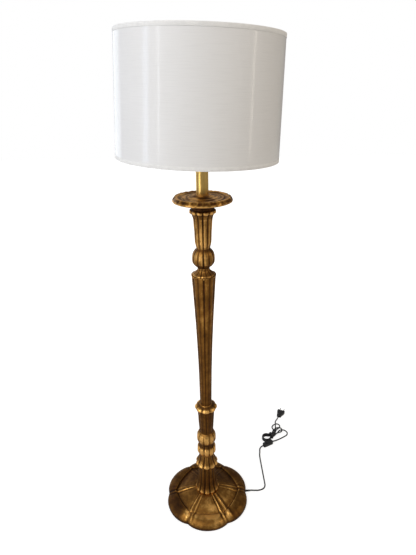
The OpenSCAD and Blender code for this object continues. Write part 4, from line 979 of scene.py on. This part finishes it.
# Where it leaves the base, where the switch and the plug lie and point, and the route between
CORD_AZ, EXIT_AT, EXIT_Z = 4, 172, 8
SWITCH_AT, SWITCH_AZ, SWITCH_L, ENTRY_Z = Vector((279, 266, 0)), 27.5, 50, 6
PLUG_AT, PLUG_AZ, PLUG_T = Vector((357, 446, 0)), 62.5, 13.7
# A route's points lie on the floor where they have no height
LEAD_ROUTE = [(190, 13.8, 5.5), (204, 15.6, 3.2), (214.5, 18), (223, 21.1), (229.9, 26.9), (234.4, 34.7),
              (236, 43.6), (236, 53), (235.6, 72), (235, 95), (234.4, 122), (233.8, 149), (233.2, 176),
              (233.6, 200), (236.4, 219), (237.8, 231, 3.2), (239.6, 238.8, 4.1), (244.5, 246.3, 5.1)]
LINK_ROUTE = [(320, 287, 4.2), (335, 295.5, 3), (351, 305)]
TAIL_ROUTE = [(312.6, 315.8, 19), (317.3, 322.5, 20.9), (321.5, 330, 21.9), (324.5, 341, 21.6),
              (326.5, 356, 19.6), (328.5, 371, 19), (330.5, 385, 18.8), (333, 400, 13.6), (336.8, 413, 7),
              (342, 423, 3.8), (348.2, 431.6, 4.8)]
# The hank's waist under its tie, and half the gap of a loop there; layer, lift and climb between
# the turns, and how soon the loops fan out. Each long loop: azimuth, radius, flare, neck and sag.
WAIST, WAIST_AZ = Vector((301, 313, 0)), 27.5
HALF_GAP, LAYER, TIE_LIFT, CLIMB, FAN_LEN = 6, CORD_D + 0.9, 1, 34, 24
LONG_LOOPS = [(19, 21, 38, 22, 0), (50, 18, 34, 20, 6), (69, 18, 44, 27, 9)]
# The folds' radius, and the share of the first long loop that the cord leaves out
FOLD_R, FIRST_SHARE = 18, 0.355


def flat_dir(a):
    """A level direction at an azimuth in degrees."""
    return Vector((math.cos(math.radians(a)), math.sin(math.radians(a)), 0))


def smooth(x):
    """0 up to 0, then smoothly up to 1 at 1."""
    c = min(max(x, 0), 1)
    return c * c * (3 - 2 * c)


def smoothed(points, n):
    """A smooth line through the points of a route, with n steps between each two."""
    points = [Vector((*p, FLOOR_Z)[:3]) for p in points]
    out = []
    for i in range(len(points) - 1):
        a, b, c, d = (points[min(max(i + k, 0), len(points) - 1)] for k in (-1, 0, 1, 2))
        for k in range(n):
            t = k / n
            out.append(0.5 * (2 * b + (c - a) * t + (2 * a - 5 * b + 4 * c - d) * t * t
                              + (3 * b - a - 3 * c + d) * t ** 3))
    return out + [points[-1]]


def keyhole_len(r, flare, neck):
    """The cord's length round a keyhole loop: end radius, flare's radius, length of the neck."""
    turn = math.acos((HALF_GAP + flare) / (flare + r))
    return 2 * neck + 2 * flare * turn + r * (math.pi + 2 * turn)


def keyhole(q, r, flare, neck):
    """A keyhole loop in its own plane: out on the right, round the end, back on the left."""
    turn = math.acos((HALF_GAP + flare) / (flare + r))
    rise, total = flare * turn, keyhole_len(r, flare, neck)
    x = min(q, 1 - q) * total
    side = -1 if q < 0.5 else 1
    middle = neck + (flare + r) * math.sin(turn)
    if x < neck:
        return x, side * HALF_GAP
    if x < neck + rise:
        a = (x - neck) / flare
        return neck + flare * math.sin(a), side * (HALF_GAP + flare * (1 - math.cos(a)))
    a = math.pi / 2 + turn - (x - neck - rise) / r
    return middle + r * math.cos(a), side * r * math.sin(a)


def on_waist(u, v, bend, z):
    """From a loop's plane to the floor: the waist's line bends to each loop's own azimuth."""
    a0 = math.radians(WAIST_AZ)
    a = a0 + math.radians(bend) * min(max(u, 0), FAN_LEN) / FAN_LEN
    if u <= 0 or bend == 0:
        line = Vector((u * math.cos(a0), u * math.sin(a0), 0))
    else:
        k = FAN_LEN / math.radians(bend)
        past = max(0, u - FAN_LEN)
        line = Vector((k * (math.sin(a) - math.sin(a0)) + past * math.cos(a),
                       k * (math.cos(a0) - math.cos(a)) + past * math.sin(a), 0))
    place = WAIST + line + v * Vector((-math.sin(a), math.cos(a), 0))
    place.z = z + FLOOR_Z + TIE_LIFT * math.exp(-((u / 16) ** 2))
    return place


def long_point(k, q):
    """The point at a share of a long loop of the hank."""
    azimuth, r, flare, neck, sag = LONG_LOOPS[k]
    total = keyhole_len(r, flare, neck)
    up = 0
    if k > 0:
        sunk = math.sin(math.pi * smooth((q - 0.35) / 0.6)) ** 2
        up = LAYER * (k - 1 + smooth(q * total / CLIMB)) - sag * sunk
    u, v = keyhole(q, r, flare, neck)
    return on_waist(u, v, azimuth - WAIST_AZ, up)


def fold_point(k, q):
    """The point at a share of a fold behind the hank's tie."""
    u, v = keyhole(q, FOLD_R, FOLD_R, 0)
    return on_waist(-u, -v, 0, LAYER * k)


def hank_points(long_steps, fold_steps):
    """Three long loops and three folds by turns, along the same curves as the CAD node's."""
    turns = []
    for k in range(3):
        first = FIRST_SHARE if k == 0 else 0
        turns += [long_point(k, first + (1 - first) * i / long_steps) for i in range(long_steps)]
        turns += [fold_point(k, i / fold_steps) for i in range(fold_steps)]
    head = (long_point(0, FIRST_SHARE + 0.01) - long_point(0, FIRST_SHARE)).normalized()
    tail = (Vector(TAIL_ROUTE[0]) - fold_point(2, 1)).normalized()
    return head, tail, turns + [fold_point(2, 1)]


def cord_curve(name, path, replaced):
    """A cord as one open spline through its points."""
    curve = bpy.data.curves.new(name, "CURVE")
    curve.dimensions = "3D"
    curve.bevel_depth = CORD_D / 2 * MM
    curve.bevel_resolution = 5
    curve.use_fill_caps = True
    spline = curve.splines.new("POLY")
    spline.points.add(len(path) - 1)
    for point, place in zip(spline.points, path):
        point.co = (*(place * MM), 1)
    spline.use_smooth = True
    return adopted(name, curve, sheath, "stand", replaced)


def make_cords():
    half = SWITCH_L / 2 * flat_dir(SWITCH_AZ)
    entry = Vector((0, 0, ENTRY_Z))
    switch_in, switch_out = SWITCH_AT - half + entry, SWITCH_AT + half + entry
    exit_point = EXIT_AT * flat_dir(CORD_AZ) + Vector((0, 0, EXIT_Z))
    lead = smoothed([exit_point, exit_point + STRAIGHT * flat_dir(CORD_AZ), *LEAD_ROUTE,
                     switch_in - STRAIGHT * flat_dir(SWITCH_AZ), switch_in], 6)
    head, tail, turns = hank_points(long_steps=60, fold_steps=30)
    start, end = turns[0] - CORD_D * head, turns[-1] + CORD_D * tail
    link = smoothed([switch_out, switch_out + STRAIGHT * flat_dir(SWITCH_AZ), *LINK_ROUTE,
                     start - STRAIGHT * head, start], 6)
    plug_in = PLUG_AT + Vector((0, 0, PLUG_T / 2))
    last = smoothed([end, *TAIL_ROUTE, plug_in - STRAIGHT * flat_dir(PLUG_AZ), plug_in], 6)
    rest = link + turns + last
    switch = [rounded_copy("switch_base", moulded, "stand", 0.9, 3),
              rounded_copy("switch_cover", moulded, "stand", 1.1, 3),
              rounded_copy("switch_rocker", moulded, "rocker", 0.5)]
    plug = [rounded_copy("plug_body", moulded, "stand", 2.2, 4),
            rounded_copy("plug_pins", nickel, "stand", 0.5)]
    tie = rounded_copy("hank_tie", strap, "stand", 0.3)
    near = cord_curve("cord_to_switch", lead, ["cord_lead"])
    far = cord_curve("cord_to_plug", rest, ["cord_link", "cord_hank", "cord_tail"])


# --- Floor, lamps and world ---


# How much of the white floor and of the white world a reflection shows
FLOOR_REFLECTED, WORLD_REFLECTED = 0.10, 0.04
FLOOR_HALF = 9


def make_floor():
    """A pale floor that glows white to the camera, a little less near the lamp."""
    s = Shader("pale_floor", Roughness=0.9)
    s.shade(Base_Color=s.mix(s.noise(3, 2, 0.5), (0.50, 0.50, 0.50), (0.53, 0.53, 0.53)))
    reach = s.add("ShaderNodeVectorMath", operation="LENGTH")
    s.link(s.point, reach.inputs[0])
    glow = s.add("ShaderNodeEmission")
    white = s.span(reach.outputs["Value"], 0.3, 1.6, 0.72, 1.0)
    s.put(glow, {"Strength": s.math("MULTIPLY", s.seen(FLOOR_REFLECTED), white)})
    both = s.add("ShaderNodeAddShader")
    s.put(both, {0: s.principled.outputs["BSDF"], 1: glow.outputs["Emission"]})
    s.link(both.outputs["Shader"], s.tree.nodes["Material Output"].inputs["Surface"])
    mesh = bpy.data.meshes.new("floor")
    corners = [(-FLOOR_HALF, -FLOOR_HALF, 0), (FLOOR_HALF, -FLOOR_HALF, 0), (FLOOR_HALF, FLOOR_HALF, 0),
               (-FLOOR_HALF, FLOOR_HALF, 0)]
    mesh.from_pydata(corners, [], [(0, 1, 2, 3)])
    mesh.materials.append(s.material)
    placed("floor", mesh)


def area_light(name, azimuth, distance, height, size, power, colour, look_at=1.1):
    """A rectangular lamp. Azimuth 0 stands before the lamp's front, and 90 to its right."""
    data = bpy.data.lights.new(name, "AREA")
    data.shape = "RECTANGLE"
    data.size, data.size_y = size
    data.energy = power
    data.color = colour
    a = math.radians(azimuth)
    place = Vector((math.sin(a) * distance, -math.cos(a) * distance, height))
    lamp = placed(name, data)
    lamp.location = place
    lamp.rotation_euler = (Vector((0, 0, look_at)) - place).to_track_quat("-Z", "Y").to_euler()


def make_light():
    cool, neutral, warm = (0.90, 0.95, 1.0), (1.0, 0.985, 0.96), (1.0, 0.90, 0.78)
    area_light("key", -42, 3.0, 3.6, (2.0, 1.6), 63, neutral)
    area_light("low_box", -46, 2.9, 0.5, (0.75, 0.8), 9, neutral, 0.7)
    area_light("fill", 72, 3.4, 3.2, (1.6, 1.4), 24, warm)
    area_light("window_left", -140, 3.2, 1.5, (1.9, 2.2), 14, cool)
    area_light("strip_left", -69, 2.8, 1.5, (0.36, 1.9), 6.0, (0.66, 0.78, 1.0))
    area_light("strip_front", -51, 2.8, 1.75, (0.10, 1.2), 1.8, cool)
    area_light("strip_right", 72, 2.8, 1.62, (0.09, 1.3), 1.8, warm)


# The room round the lamp, which is cool at the left. At the right it is warm, and darker in a
# reflection than as light.
ROOM_LEFT, ROOM_RIGHT, ROOM_RIGHT_REFLECTED = (0.38, 0.40, 0.44), (0.55, 0.50, 0.42), (0.15, 0.135, 0.115)


def make_world():
    """White to the camera, and a room to everything else."""
    world = bpy.data.worlds.new("studio")
    bpy.context.scene.world = world
    world.use_nodes = True
    w = Nodes(world.node_tree)
    parts = w.add("ShaderNodeSeparateXYZ")
    w.link(w.add("ShaderNodeTexCoord").outputs["Generated"], parts.inputs["Vector"])
    side = w.add("ShaderNodeMapRange")
    w.put(side, {"Value": parts.outputs["X"], 1: -1.0, 2: 1.0})
    as_light = w.add("ShaderNodeLightPath").outputs["Is Diffuse Ray"]
    room = w.mix(side.outputs["Result"], ROOM_LEFT, w.mix(as_light, ROOM_RIGHT_REFLECTED, ROOM_RIGHT))
    w.put(w.tree.nodes["Background"], {"Color": w.mix(w.seen(WORLD_REFLECTED), room, (1, 1, 1))})


# --- Putting it together ---

make_cords()
make_base()
make_stem()
make_shaft()
make_head()
make_dish()
make_shade()
make_tube()
make_harp()
make_finial()
make_bulb()
rounded_copy("tube_cap", brass, "stand", 0.4)
rounded_copy("tube_locknut", brass, "stand", 0.3)
rounded_copy("harp_saddle", brass, "stand", 0.3)
rounded_copy("cord_relief", moulded, "stand", 0.4)
repaint(felt, "felt_pad")
repaint(iron, "base_weight")
repaint(steel, "weight_screws", "pipe_washer", "pipe", "spider_frame", "lower_ring", "switch_screws")
repaint(brass, "pipe_nut", "check_ring", "ferrule_left", "ferrule_right", "holder_cap", "holder_shell",
        "terminal_screws", "screw_shell", "center_contact", "harp_stud", "switch_contacts")
repaint(fibre_board, "holder_liner")
repaint(phenolic, "holder_block")
repaint(cap_metal, "bulb_tip")
repaint(sheath, "inner_cord")
make_floor()
make_light()
make_world()
bpy.context.scene.view_settings.view_transform = "Standard"
